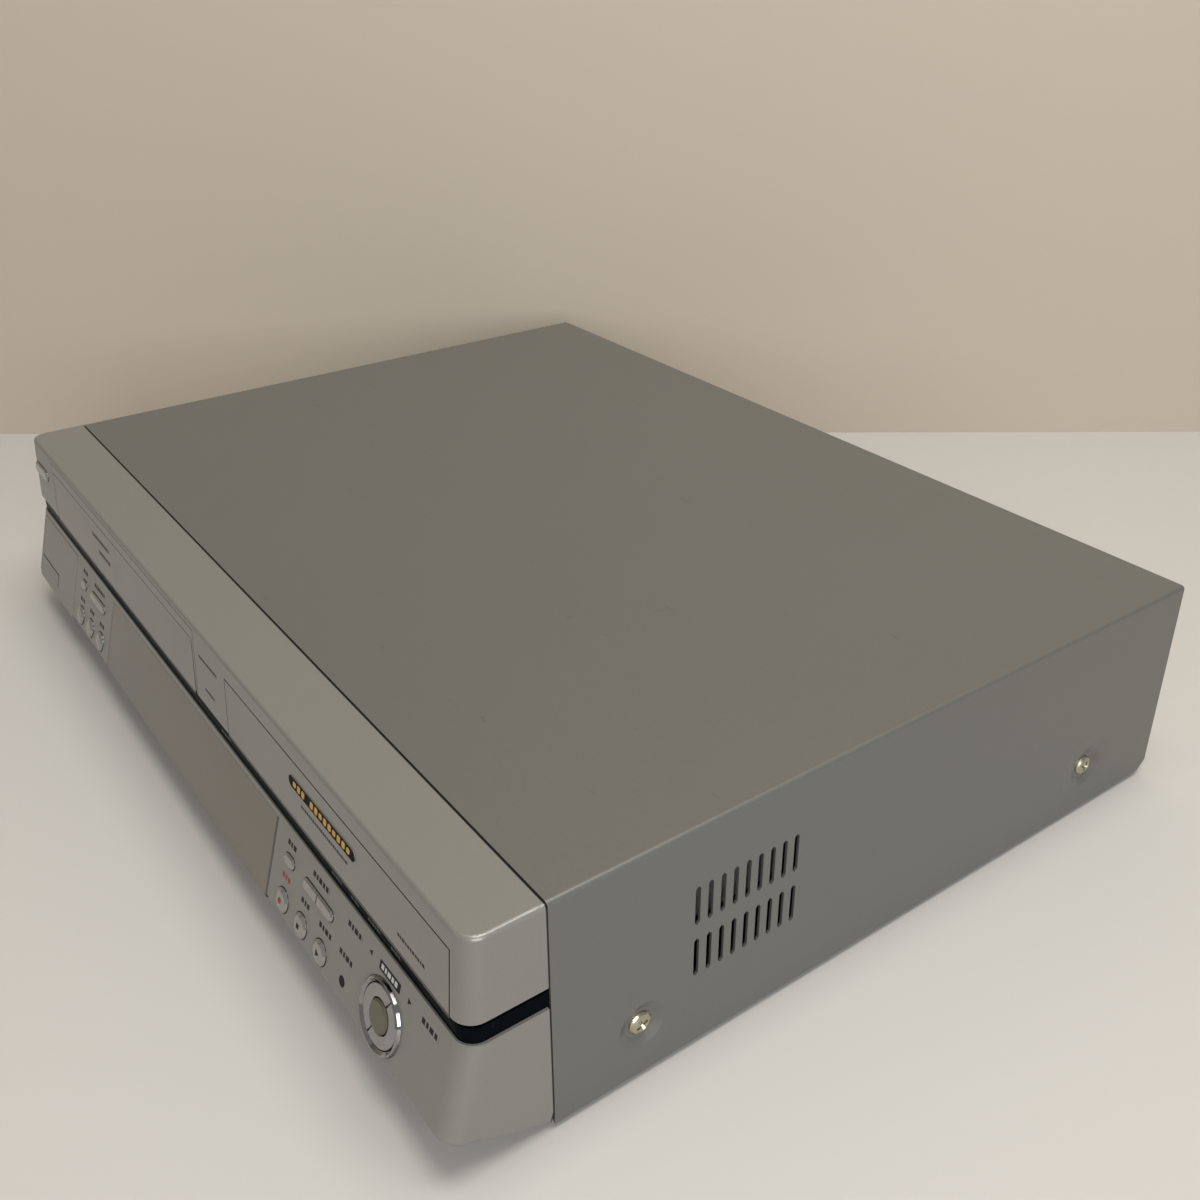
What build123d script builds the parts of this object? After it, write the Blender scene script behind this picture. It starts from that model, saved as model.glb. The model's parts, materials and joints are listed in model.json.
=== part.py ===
from build123d import *
import os
from math import atan2, cos, degrees, hypot, pi, radians, sin

# Millimetres. Every piece is drawn from one datum: x from the middle of the cabinet, y backwards from the
# seam between the moulded front and the cover, z up from the cover's lower edge. write() moves the pieces
# to the origin, which lies on the floor under the middle of the whole outline.

# ---- Cabinet ----
COVER_WIDTH = 430.0
COVER_DEPTH = 296.8
COVER_HEIGHT = 86.5
SHEET = 1.0
BEND = 1.6
SEAM_GAP = 0.6
REAR_LIP = 9.0
REAR_CORNER_CUT = 4.0
FOOT_HEIGHT = 2.7
FOOT_DROP = 2.5
FOOT_RADIUS = 12.0
FOOT_PEG = 5.0
FOOT_X = 175.0
FOOT_Y = (38.0, 262.0)
FIT = 0.1
LOOSE = 0.3

VENT_COUNT = 9
VENT_PITCH = 5.0
VENT_FIRST_Y = 53.5
VENT_WIDTH = 2.0
VENT_LENGTH = 15.3
VENT_ROW_Z = (35.8, 56.6)

SCREW_Y = (33.0, 252.0)
SCREW_Z = 20.0
SCREW_RADIUS = 1.5
SCREW_LENGTH = 7.0
HEAD_RADIUS = 4.2
HEAD_CROWN = 3.2
HEAD_HEIGHT = 1.6
DIMPLE_RADIUS = 8.8
DIMPLE_FLOOR = 5.6
DIMPLE_DEPTH = 1.5
LIP_SCREW_X = (-150.0, 0.0, 150.0)

# ---- Moulded front ----
FRONT_WIDTH = 431.0
WALL = 2.2
CORNER = 7.0
INNER_CORNER = 0.6
TOP_EDGE = 1.5
BAND_TOP = 56.5
BAND_BOTTOM = 48.5
BAND_STEP = 54.3
REACH_TOP = 25.2
REACH_BAND = 27.4
REACH_SILL = 27.0
REACH_CHIN = 36.5
CHIN_Z = 15.0
BAND_INSET = 1.0
GAP_INSET = 3.2
BAND_DEPTH = 6.0
SHELF = 1.5
TONGUE = 8.0
TONGUE_WALL = 1.6
UNDERSIDE_KNEE_Y = -16.0
UNDERSIDE_KNEE_Z = 8.4
UNDERSIDE_RISE = 0.35
FACET_TOP = 6.8
FACET_INSET = 1.6
CHIN_ROUND = 2.0

# ---- Cassette flap and its opening ----
CASSETTE_WIDTH = 187.0
CASSETTE_HEIGHT = 25.0
CASSETTE_DEPTH = 103.0
CASSETTE_X = -81.75
CASSETTE_PLAY = 1.35
OPENING_TOP = 79.8
OPENING_BOTTOM = 54.2
FLAP_GAP = 0.35
FLAP_THICK = 2.0
FLAP_DROP = 1.0
FLAP_OFFSET = 3.4
FLAP_AXIS_Z = 82.7
FLAP_ARM = 3.0
ARM_RIM = 0.3
PIN_RADIUS = 1.1
PIN_PLAY = 0.06
PIN_REACH = 2.2
EAR = 2.4
BEVEL = 1.8

# ---- Disc tray fascia ----
FASCIA_X = 127.25
FASCIA_WIDTH = 161.0
FASCIA_THICK = 2.4
FASCIA_GAP = 0.35
BADGE_WIDTH = 48.5
BADGE_HEIGHT = 4.4
BADGE_Z = 71.2

# ---- Buttons, window and dial ----
BUTTON_GAP = 0.35
BUTTON_PROUD = 0.9
BUTTON_BODY = 3.0
PLUNGER = 2.6
PLUNGER_SIZE = 2.4
BUTTON_EDGE = 0.6
TRAVEL = 0.8
SWITCH_GAP = 0.4
SWITCH_HEIGHT = 0.9
ROUND_RADIUS = 4.4
ROUND_Z = 22.4
LEFT_ROUND_X = (-137.5, -122.5, -107.5)
RIGHT_ROUND_X = (101.5, 116.5, 131.5)
PILL_Z = 37.6
PILL_HEIGHT = 4.2
LEFT_PILL = (-137.0, 7.0)
LEFT_LONG = (-115.5, 20.5)
RIGHT_PILL = (102.3, 7.4)
ROCKER = (124.9, 22.0)
ROCKER_SWING = 2.5
ROCKER_PIN = 6.0
POWER_X = -199.2
POWER_Z = 72.8
POWER_WIDTH = 20.6
POWER_HEIGHT = 5.6
LENS_X = 147.5
LENS_Z = 22.9
LENS_RADIUS = 1.9
WINDOW_LEFT = -95.5
WINDOW_RIGHT = 89.7
WINDOW_LOW = 15.6
WINDOW_HIGH = 46.6
WINDOW_THICK = 2.4
WINDOW_CORNER = 1.0
DIAL_X = 172.2
DIAL_Z = 28.5
DIAL_RING = 12.2
DIAL_RING_WIDTH = 1.9
DIAL_RING_PROUD = 1.3
DIAL_CENTRE = 5.4
DIAL_GAP = 0.3
DIAL_SPLIT = 62.0

# ---- Socket cover at the lower left ----
COVER_LEFT = -207.0
COVER_RIGHT = -150.6
COVER_LOW = 15.4
COVER_HIGH = 46.0
COVER_THICK = 2.0
COVER_GAP = 0.35
SOCKET_X = (-195.0, -181.5, -170.5, -159.5)
SOCKET_Z = 31.0
SOCKET_BASE = 14.0
SOCKET_BARREL = 8.5
SOCKET_BLOCK = 16.0
SOCKET_PAD = 5.0

# ---- Front board ----
BOARD = 1.6
FRONT_BOARD_LEFT = -147.0
FRONT_BOARD_RIGHT = 190.0
DISPLAY_DEPTH = 3.6
DISPLAY_MARGIN = 6.0
DISPLAY_HEIGHT = 22.0

# ---- Cassette mechanism ----
DECK_Z = 19.0
DECK_SHEET = 1.2
DECK_FRONT = 6.0
DECK_BACK = 192.0
DECK_SIDE_TOP = 83.0
DECK_SIDE_BACK = 116.0
BASKET_SHEET = 1.0
BASKET_FRONT = 7.0
BASKET_LIFT = 27.0
BASKET_PIN_Y = (32.0, 92.0)
BASKET_PIN = 2.0
BASKET_BAR_Y = (26.0, 84.0)
BASKET_BAR = 12.0
REEL_SPACING = 92.0
REEL_Y = 54.0
REEL_RADIUS = 20.0
REEL_HEIGHT = 4.0
REEL_SPINDLE = 5.2
REEL_SPINDLE_TOP = 36.0
REEL_HOLE = 14.0
REEL_FIN = 1.4
DRUM_RADIUS = 31.0
DRUM_Y = 151.0
DRUM_TILT = 5.0
DRUM_FOOT = 4.0
LOWER_DRUM = 18.0
UPPER_DRUM = 17.0
DRUM_SHAFT = 4.0
DRUM_GAP = 0.3
DRUM_LEAD = 1.2
SHAFT_PLAY = 0.05
CAPSTAN_X = 62.0
CAPSTAN_Y = 124.0
CAPSTAN_RADIUS = 2.0
CAPSTAN_TOP = 55.0
CAPSTAN_SLEEVE = 5.0
CAPSTAN_FLANGE = 8.0
CAPSTAN_SLEEVE_TOP = 33.0
FLYWHEEL_RADIUS = 22.0
FLYWHEEL_HEIGHT = 6.0
STATOR_HEIGHT = 2.0
ROLLER_RADIUS = 7.0
ROLLER_LOW = 36.0
ROLLER_HIGH = 52.0
ARM_LENGTH = 22.0
ARM_SWING = 12.0
ARM_THICK = 3.0
ARM_BEARING = 35.0
ARM_POST = 3.0
GUIDE_X = 43.0
GUIDE_Y = 122.0
GUIDE_TRAVEL = 36.0
GUIDE_BASE = 12.0
GUIDE_BASE_HEIGHT = 3.0
GUIDE_SLOT = 4.0
GUIDE_ROLLER = 3.2
GUIDE_TOP = 50.0
LOADER_X = -78.0
LOADER_Y = 150.0
LOADER_RADIUS = 13.0
LOADER_TEETH = 26
LOADER_HEIGHT = 6.0
LOADER_LOW = 28.0
LOADER_POST = 3.0
MOTOR_RADIUS = 9.0
MOTOR_LENGTH = 26.0
MOTOR_BOX = 12.0

# ---- Disc drive ----
DRIVE_WIDTH = 148.0
DRIVE_FRONT = 2.0
DRIVE_DEPTH = 186.0
DRIVE_LOW = 36.0
DRIVE_TOP = 78.0
DRIVE_SHEET = 1.2
DRIVE_LEG = 12.0
TRAY_WIDTH = 136.0
TRAY_LOW = 63.0
TRAY_HIGH = 68.0
TRAY_BACK = 152.0
TRAY_TRAVEL = 142.0
RAIL_WIDTH = 7.0
RAIL_HEIGHT = 2.8
RAIL_GAP = 0.2
DISC_Y = 64.0
DISC_RECESS = 60.5
SMALL_RECESS = 40.5
RECESS_DEPTH = 1.5
SMALL_DEPTH = 2.9
TRAY_SLOT = 36.0
TRAVERSE_Z = 48.0
TRAVERSE_THICK = 2.0
TRAVERSE_WIDTH = 92.0
TRAVERSE_FRONT = 44.0
TRAVERSE_BACK = 148.0
TRAVERSE_AXIS_Y = 150.0
TRAVERSE_DROP = 3.0
TRAVERSE_HOLE = 38.0
SPINDLE_RADIUS = 12.5
SPINDLE_TOP = 63.6
SPINDLE_SHAFT = 1.5
TABLE_RADIUS = 15.0
TABLE_LOW = 65.4
TABLE_TOP = 67.6
HUB_RADIUS = 7.3
HUB_TOP = 69.4
SLED_WIDTH = 58.0
SLED_DEPTH = 22.0
SLED_LOW = 50.6
SLED_HEIGHT = 8.0
SLED_START = 89.0
SLED_TRAVEL = 33.0
SLED_PLAY = 0.06
ROD_RADIUS = 1.5
ROD_X = 24.0
ROD_Z = 54.6
ROD_EAR = 2.5
ROD_FRONT = 75.0
ROD_BACK = 137.0
LENS_BARREL = 2.6
RACK_MODULE = 1.0
RACK_TEETH = 12
RACK_SPARE = 2
PINION_TEETH = 12
PINION_Y = 105.0
PINION_HEIGHT = 4.0
PINION_POST = 1.5
TOOTH_PLAY = 0.36
CLAMP_HOLE = 12.0
CLAMP_RADIUS = 16.0
CLAMP_LOW = 70.0
CLAMP_THICK = 2.4
CLAMP_FLANGE = 14.5

# ---- Boards, power and the back ----
STANDOFF = 6.6
STANDOFF_SIZE = 6.0
DECK_POST = 8.0
POWER_BOARD = (-206.0, -62.0)
MAIN_BOARD = (-50.0, 206.0)
BOARD_FRONT = 199.0
BOARD_BACK = 283.0
TRANSFORMER = (42.0, 34.0, 30.0)
TRANSFORMER_AT = (-128.0, 238.0)
CAPACITOR_RADIUS = 9.0
CAPACITOR_HEIGHT = 32.0
HEATSINK_HEIGHT = 36.0
CHIP = 20.0
INLET_X = -178.0
INLET_Z = 24.0
INLET_WIDTH = 26.0
INLET_HEIGHT = 16.0
INLET_DEPTH = 18.0
JACK_X = (-24.0, -10.0, 4.0)
JACK_Z = (34.0, 54.0)
JACK_RADIUS = 4.15
JACK_REACH = 8.0
JACK_BORE = 1.7
JACK_MARGIN = 6.5
TUNER_X = (56.0, 76.0)
TUNER_Z = 44.0
TUNER_RADIUS = 4.7
TUNER_REACH = 7.0
TUNER_COLLAR = 6.6
TUNER_BORE = 1.0
TUNER_DEPTH = 30.0
FAN_SIZE = 40.0
FAN_DEPTH = 15.0
FAN_X = 160.0
FAN_Z = 50.0
FAN_DUCT = 18.5
FAN_HUB = 8.5
FAN_BLADES = 7
FAN_PITCH = 38.0

# ---- What follows from the sizes above ----
HALF = COVER_WIDTH / 2
FRONT_HALF = FRONT_WIDTH / 2
PAN_HALF = HALF - SHEET - 2 * FIT
PAN_LOW = FOOT_HEIGHT - FOOT_DROP
PAN_TOP = PAN_LOW + SHEET
PANEL_FRONT = COVER_DEPTH - 2 * SHEET - FIT
PANEL_BACK = PANEL_FRONT + SHEET
DIMPLE_BACK = HALF - SHEET - DIMPLE_DEPTH
DEPTH_AHEAD = REACH_CHIN - (COVER_LOW - CHIN_Z) * (REACH_CHIN - REACH_SILL) / (BAND_BOTTOM - CHIN_Z)
DEPTH_BEHIND = PANEL_BACK + JACK_REACH
MID_Y = (DEPTH_BEHIND - DEPTH_AHEAD) / 2
OPENING_HALF = CASSETTE_WIDTH / 2 + CASSETTE_PLAY
FLAP_HALF = OPENING_HALF - FLAP_GAP
DECK_TOP = DECK_Z + DECK_SHEET
ROCKER_DEPTH = WALL + TRAVEL + FIT + PLUNGER / 2
BASKET_HALF = OPENING_HALF - LOOSE + BASKET_SHEET
BASKET_LOW = OPENING_BOTTOM - BASKET_SHEET
BASKET_BACK = BASKET_FRONT + CASSETTE_DEPTH
DECK_HALF = BASKET_HALF + LOOSE + DECK_SHEET
TABLE_Y = DISC_Y
DRIVE_BACK = DRIVE_FRONT + DRIVE_DEPTH


def upper_reach(z):
    """How far the upper front stands out from the seam at height z."""
    return REACH_BAND + (REACH_TOP - REACH_BAND) * (z - BAND_TOP) / (COVER_HEIGHT - BAND_TOP)


def lower_reach(z):
    """How far the lower front stands out from the seam at height z."""
    return REACH_SILL + (REACH_CHIN - REACH_SILL) * (BAND_BOTTOM - z) / (BAND_BOTTOM - CHIN_Z)


def box(x, y, z):
    """A block between two limits along each axis."""
    middle = Pos((x[0] + x[1]) / 2, (y[0] + y[1]) / 2, (z[0] + z[1]) / 2)
    return middle * Box(abs(x[1] - x[0]), abs(y[1] - y[0]), abs(z[1] - z[0]))


def rod(x, y, low, high, radius):
    """An upright cylinder."""
    return Pos(x, y, (low + high) / 2) * Cylinder(radius, high - low)


def column(x, y, low, high, size):
    """An upright square post."""
    half = size / 2
    return box((x - half, x + half), (y - half, y + half), (low, high))


def outline(reach, z, inset, rounded=True):
    """The front from above: straight along the seam, its two front corners rounded, or cut straight inside."""
    depth = reach - inset
    plan = Pos(0, -depth / 2) * Rectangle(FRONT_WIDTH - 2 * inset, depth)
    ahead = plan.vertices().group_by(Axis.Y)[0]
    corner = max(CORNER - inset, 0.5)
    return Pos(0, 0, z) * (fillet(ahead, corner) if rounded else chamfer(ahead, INNER_CORNER * corner))


def upper_block(inset, low, high):
    return loft([outline(upper_reach(z), z, inset, inset == 0) for z in (low, high)], ruled=True)


def lower_block(inset, low, high):
    return loft([outline(lower_reach(z), z, inset, inset == 0) for z in (low, high)], ruled=True)


def band_block(inset, low, high):
    return extrude(outline(REACH_BAND, low, inset), high - low)


def upper_face(x, z, depth=0.0):
    """A frame on the upper front's face: x along the cabinet, y up the face, z straight out of it."""
    rise, back = COVER_HEIGHT - BAND_TOP, REACH_BAND - REACH_TOP
    out = Vector(0, -rise, back).normalized()
    at = Vector(x, -upper_reach(z), z) - out * depth
    return Plane(origin=at, x_dir=(1, 0, 0), z_dir=out)


def lower_face(x, z, depth=0.0):
    """The same on the lower front's sloping face."""
    rise, ahead = BAND_BOTTOM - CHIN_Z, REACH_CHIN - REACH_SILL
    out = Vector(0, -rise, ahead).normalized()
    at = Vector(x, -lower_reach(z), z) - out * depth
    return Plane(origin=at, x_dir=(1, 0, 0), z_dir=out)


def slope_length(low, high):
    """Length along the lower face between two heights."""
    return hypot(high - low, lower_reach(low) - lower_reach(high))


def frame_cut(left, right, low, high, grow):
    """What to cut from the lower front for a piece between these limits, larger all round by grow."""
    middle = lower_face((left + right) / 2, (low + high) / 2)
    size = Rectangle(right - left + 2 * grow, slope_length(low, high) + 2 * grow)
    return extrude(middle * size, 3 * WALL, both=True)


def side_profile(points):
    """A closed outline in the y-z plane, as wide as the front."""
    face = make_face(Polyline([(0, y, z) for y, z in points], close=True))
    return extrude(face, FRONT_WIDTH, both=True)


# ---- Casing ----


def arch(width, height, radius):
    """The cover's section from the front, filled."""
    section = Pos(0, height / 2) * Rectangle(width, height)
    return fillet(section.vertices().group_by(Axis.Y)[-1], radius)


def run_back(section, start, end):
    """A section in the x-z plane, carried backwards."""
    return extrude(Plane.XZ.offset(-start) * section, start - end)


def vent_pattern():
    half, end = VENT_WIDTH / 2, VENT_LENGTH / 2
    slot = make_face(Polyline(
        (half, end - half), (0, end), (-half, end - half), (-half, half - end), (0, -end), (half, half - end),
        close=True))
    places = [
        (VENT_FIRST_Y + i * VENT_PITCH, z) for i in range(VENT_COUNT) for z in VENT_ROW_Z
    ]
    return Sketch() + [Pos(y, z) * slot for y, z in places]


def dimple_frame(side, y):
    """On the cover's side, with z pointing into the cabinet."""
    return Plane(origin=(side * HALF, y, SCREW_Z), x_dir=(0, 1, 0), z_dir=(-side, 0, 0))


def top_cover():
    shell = run_back(arch(COVER_WIDTH, COVER_HEIGHT, BEND), SEAM_GAP, COVER_DEPTH)
    hollow = arch(COVER_WIDTH - 2 * SHEET, COVER_HEIGHT - SHEET, BEND - SHEET)
    shell -= run_back(hollow, 0, COVER_DEPTH + SHEET)
    inner = HALF - SHEET / 2
    shell += box((-inner, inner), (COVER_DEPTH - SHEET, COVER_DEPTH),
                 (COVER_HEIGHT - REAR_LIP, COVER_HEIGHT - SHEET / 2))
    shell -= side_profile([
        (COVER_DEPTH - REAR_CORNER_CUT, 0), (COVER_DEPTH, REAR_CORNER_CUT),
        (COVER_DEPTH + 1, REAR_CORNER_CUT), (COVER_DEPTH + 1, -1), (COVER_DEPTH - REAR_CORNER_CUT, -1),
    ])
    shell -= extrude(Plane.YZ * vent_pattern(), HALF + 1, both=True)
    wrap = 0.6 * SHEET
    for side in (-1, 1):
        for y in SCREW_Y:
            at = dimple_frame(side, y)
            depth = DIMPLE_DEPTH + SHEET / 2
            bulge = Cone(DIMPLE_RADIUS + wrap, DIMPLE_FLOOR + wrap, depth)
            shell += at * Pos(0, 0, SHEET / 2 + depth / 2) * bulge
            shell -= at * Pos(0, 0, DIMPLE_DEPTH / 2) * Cone(DIMPLE_RADIUS, DIMPLE_FLOOR, DIMPLE_DEPTH)
            shell -= at * extrude(screw_hole(), 4 * SHEET)
    for x in LIP_SCREW_X:
        shell -= lip_frame(x) * extrude(screw_hole(), 2 * SHEET, both=True)
    return shell


def screw_hole():
    return RegularPolygon(SCREW_RADIUS + 2 * FIT, 6)


def lip_frame(x):
    """On the cover's rear lip, with z pointing into the cabinet."""
    return Plane(origin=(x, COVER_DEPTH, COVER_HEIGHT - REAR_LIP / 2), x_dir=(1, 0, 0), z_dir=(0, -1, 0))


def screw(head_below):
    """Pan-head screw; its head's seat lies head_below under the frame's origin."""
    head = Pos(0, 0, head_below - HEAD_HEIGHT / 2) * Cone(HEAD_CROWN, HEAD_RADIUS, HEAD_HEIGHT)
    shank = Pos(0, 0, head_below - FIT) * extrude(RegularPolygon(SCREW_RADIUS, 6), SCREW_LENGTH)
    return head + shank


def cover_screws():
    sides = [dimple_frame(side, y) * screw(DIMPLE_DEPTH - FIT / 2) for side in (-1, 1) for y in SCREW_Y]
    return sides + [lip_frame(x) * screw(-FIT / 2) for x in LIP_SCREW_X]


def base_chassis():
    front, back = SEAM_GAP, PANEL_FRONT - FIT
    pan = box((-PAN_HALF, PAN_HALF), (front, back), (PAN_LOW, PAN_TOP))
    rim = SCREW_Z - DIMPLE_RADIUS - SHEET
    for side in (-1, 1):
        pan += box((side * PAN_HALF, side * (PAN_HALF - SHEET)), (TONGUE + 2, back), (PAN_LOW, rim))
        for y in SCREW_Y:
            face = DIMPLE_BACK - FIT
            tab = box((side * face, side * (face - SHEET)), (y - 9, y + 9), (PAN_LOW, SCREW_Z + 8))
            tab -= dimple_frame(side, y) * extrude(screw_hole(), 6 * SHEET)
            pan += tab
    pan += box((-PAN_HALF, PAN_HALF), (back - SHEET, back), (PAN_LOW, PAN_TOP + STANDOFF))
    slot = Rectangle(24, 3)
    slots = [Pos(x, y) * slot for x in (-160, -120, 60, 100, 140) for y in (215, 235, 255)]
    pan -= extrude(Sketch() + slots, PAN_TOP + 1)
    for x, y in deck_posts():
        pan += column(x, y, PAN_TOP - SHEET / 2, DECK_Z, DECK_POST)
    for left, right in (POWER_BOARD, MAIN_BOARD):
        for x in (left + 8, right - 8):
            for y in (BOARD_FRONT + 8, BOARD_BACK - 12):
                pan += column(x, y, PAN_TOP - SHEET / 2, PAN_TOP + STANDOFF, STANDOFF_SIZE)
    for x in (-FOOT_X, FOOT_X):
        for y in FOOT_Y:
            pan -= column(x, y, PAN_LOW - 1, PAN_TOP + 1, FOOT_PEG + 2 * FIT)
    return pan


def deck_posts():
    across = DECK_HALF - 8
    return [(CASSETTE_X + sx * across, y) for sx in (-1, 1) for y in (DECK_FRONT + 8, DECK_BACK - 8)]


def feet():
    made = []
    for x in (-FOOT_X, FOOT_X):
        for y in FOOT_Y:
            disc = rod(x, y, -FOOT_DROP, PAN_LOW, FOOT_RADIUS)
            made.append(disc + column(x, y, 0, PAN_TOP + 1, FOOT_PEG))
    return made


def rear_panel():
    plate = box((-PAN_HALF, PAN_HALF), (PANEL_FRONT, PANEL_BACK), (PAN_LOW, COVER_HEIGHT - SHEET - FIT))
    corner = REAR_CORNER_CUT + SHEET
    plate -= [box((side * (PAN_HALF + 1), side * (PAN_HALF - corner)), (PANEL_FRONT - 1, PANEL_BACK + 1),
                  (PAN_LOW - 1, PAN_LOW + corner)) for side in (-1, 1)]
    through = Plane.XZ.offset(-PANEL_BACK - 1)
    holes = [Pos(INLET_X, INLET_Z) * Rectangle(INLET_WIDTH + 2 * FIT, INLET_HEIGHT + 2 * FIT)]
    middle = ((JACK_X[0] + JACK_X[-1]) / 2, (JACK_Z[0] + JACK_Z[-1]) / 2)
    across, up = JACK_X[-1] - JACK_X[0] + 2 * JACK_MARGIN, JACK_Z[-1] - JACK_Z[0] + 2 * JACK_MARGIN
    holes.append(Pos(*middle) * Rectangle(across + 2 * FIT, up + 2 * FIT))
    holes += [Pos(x, TUNER_Z) * RegularPolygon(TUNER_COLLAR + FIT, 6) for x in TUNER_X]
    holes += [Pos(x, COVER_HEIGHT - REAR_LIP / 2) * screw_hole() for x in LIP_SCREW_X]
    for i in range(-3, 4):
        z = 5 * i
        reach = (FAN_DUCT**2 - z**2) ** 0.5
        holes.append(Pos(FAN_X, FAN_Z + z) * Rectangle(2 * reach, 2.6))
    vent = Rectangle(3, 22)
    holes += [Pos(x, 55) * vent for x in range(-196, -90, 9)]
    return plate - extrude(through * (Sketch() + holes), SHEET + 2)


# ---- Moulded front ----


def cassette_cut():
    left, right = CASSETTE_X - OPENING_HALF, CASSETTE_X + OPENING_HALF
    hole = box((left, right), (-REACH_BAND - 1, -REACH_TOP + BAND_DEPTH), (OPENING_BOTTOM, OPENING_TOP))
    face = REACH_BAND + 1
    edge = Polyline([(right, -face), (right + BEVEL, -face), (right, -face + 2 * BEVEL)], close=True)
    return hole + extrude(Pos(0, 0, OPENING_BOTTOM) * make_face(edge), OPENING_TOP - OPENING_BOTTOM)


def tray_cut():
    half = FASCIA_WIDTH / 2 + FASCIA_GAP
    return box((FASCIA_X - half, FASCIA_X + half), (-REACH_BAND - 1, -REACH_TOP + BAND_DEPTH),
               (BAND_TOP - 1, OPENING_TOP))


def flap_axis():
    return Vector(CASSETTE_X, FLAP_OFFSET - upper_reach(OPENING_TOP), FLAP_AXIS_Z)


def front_bezel():
    shell = upper_block(0, BAND_TOP, COVER_HEIGHT)
    rim = [e for e in shell.faces().sort_by(Axis.Z)[-1].edges() if e.center().Y < -1]
    shell = fillet(rim, TOP_EDGE)
    shell -= upper_block(WALL, BAND_TOP - 1, COVER_HEIGHT - WALL)
    shell += upper_block(WALL / 2, BAND_TOP, BAND_TOP + SHELF) - upper_block(
        BAND_DEPTH, BAND_TOP - 1, BAND_TOP + SHELF + 1)
    shell -= box((-FRONT_HALF + BAND_DEPTH, FRONT_HALF - BAND_DEPTH), (-BAND_DEPTH, 1),
                 (BAND_TOP - 1, BAND_TOP + SHELF + 1))
    shell += tongue(BAND_TOP, COVER_HEIGHT - SHEET - 2 * FIT, True)
    axis = flap_axis()
    for side in (-1, 1):
        x = CASSETTE_X + side * (OPENING_HALF + FLAP_GAP)
        shell += box((x, x + side * EAR), (axis.Y - 2.4, axis.Y + 2.4),
                     (OPENING_TOP - 1, COVER_HEIGHT - WALL / 2))
        arm = CASSETTE_X + side * FLAP_HALF
        swing = PIN_RADIUS + ARM_RIM + LOOSE
        shell -= box((arm + side * LOOSE, arm - side * (FLAP_ARM + LOOSE)), (axis.Y - swing, axis.Y + swing),
                     (OPENING_TOP - 1, axis.Z + PIN_RADIUS + ARM_RIM + LOOSE / 2))
    shell -= cassette_cut()
    shell -= tray_cut()
    shell -= Pos(axis) * Rot(0, 90, 0) * Cylinder(PIN_RADIUS + PIN_PLAY, 2 * (OPENING_HALF + 2 * EAR))
    shell -= upper_face(POWER_X, POWER_Z) * extrude(
        SlotOverall(POWER_WIDTH + 2 * BUTTON_GAP, POWER_HEIGHT + 2 * BUTTON_GAP), 3 * WALL, both=True)
    return shell


def tongue(low, high, roofed):
    """The thin rim behind the front that slips inside the cover."""
    half = HALF - SHEET - 2 * FIT
    ring = [box((side * half, side * (half - TONGUE_WALL)), (-WALL, TONGUE), (low, high)) for side in (-1, 1)]
    if roofed:
        ring.append(box((-half, half), (-WALL, TONGUE), (high - TONGUE_WALL, high)))
        ring.append(box((-half, half), (-WALL, 0), (high - WALL, high)))
    for side in (-1, 1):
        ring.append(box((side * half, side * (half - TONGUE_WALL)), (-WALL, 0), (low, high)))
    return ring


def accent_strip():
    strip = band_block(BAND_INSET, BAND_BOTTOM, BAND_STEP) + band_block(GAP_INSET, BAND_STEP, BAND_TOP)
    strip -= band_block(BAND_DEPTH, BAND_BOTTOM - 1, BAND_TOP + 1)
    inside = FRONT_HALF - BAND_DEPTH
    strip -= box((-inside, inside), (-BAND_DEPTH, 1), (BAND_BOTTOM - 1, BAND_TOP + 1))
    return strip - cassette_cut()


def underside_height(y):
    """Height of the lower front's underside ahead of its knee."""
    return UNDERSIDE_KNEE_Z + UNDERSIDE_RISE * (UNDERSIDE_KNEE_Y - y)


def underside(lift):
    """What lies under the lower front: it rises steeply from the cover and then gently to the chin."""
    far = -2 * REACH_CHIN
    return side_profile([
        (1, -REACH_CHIN), (1, lift), (0, lift), (UNDERSIDE_KNEE_Y, UNDERSIDE_KNEE_Z + lift),
        (far, underside_height(far) + lift), (far, -REACH_CHIN),
    ])


def lower_hollow():
    hollow = lower_block(WALL, -1, BAND_BOTTOM + 1) - underside(WALL)
    sides = FRONT_HALF - WALL
    hollow += box((-sides, sides), (-WALL - 1, 1), (WALL, BAND_BOTTOM + 1)) - underside(WALL)
    return hollow


def lower_shell():
    shell = lower_block(0, -1, BAND_BOTTOM) - underside(0)
    ahead = [e for e in shell.edges() if e.center().Y < CORNER / 2 - REACH_CHIN
             and abs(e.center().Z - underside_height(e.center().Y)) < 0.5]
    shell = fillet(ahead, CHIN_ROUND)
    for side in (-1, 1):
        crease = Vector(side * FRONT_HALF, UNDERSIDE_KNEE_Y, UNDERSIDE_KNEE_Z)
        top = Vector(side * FRONT_HALF, 0, FACET_TOP)
        foot = Vector(side * (FRONT_HALF - FACET_INSET), 0, 0)
        out = (top - crease).cross(foot - crease).normalized()
        if out.X * side < 0:
            out = out * -1
        shell = split(shell, bisect_by=Plane(origin=crease, z_dir=out), keep=Keep.BOTTOM)
    return shell


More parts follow.
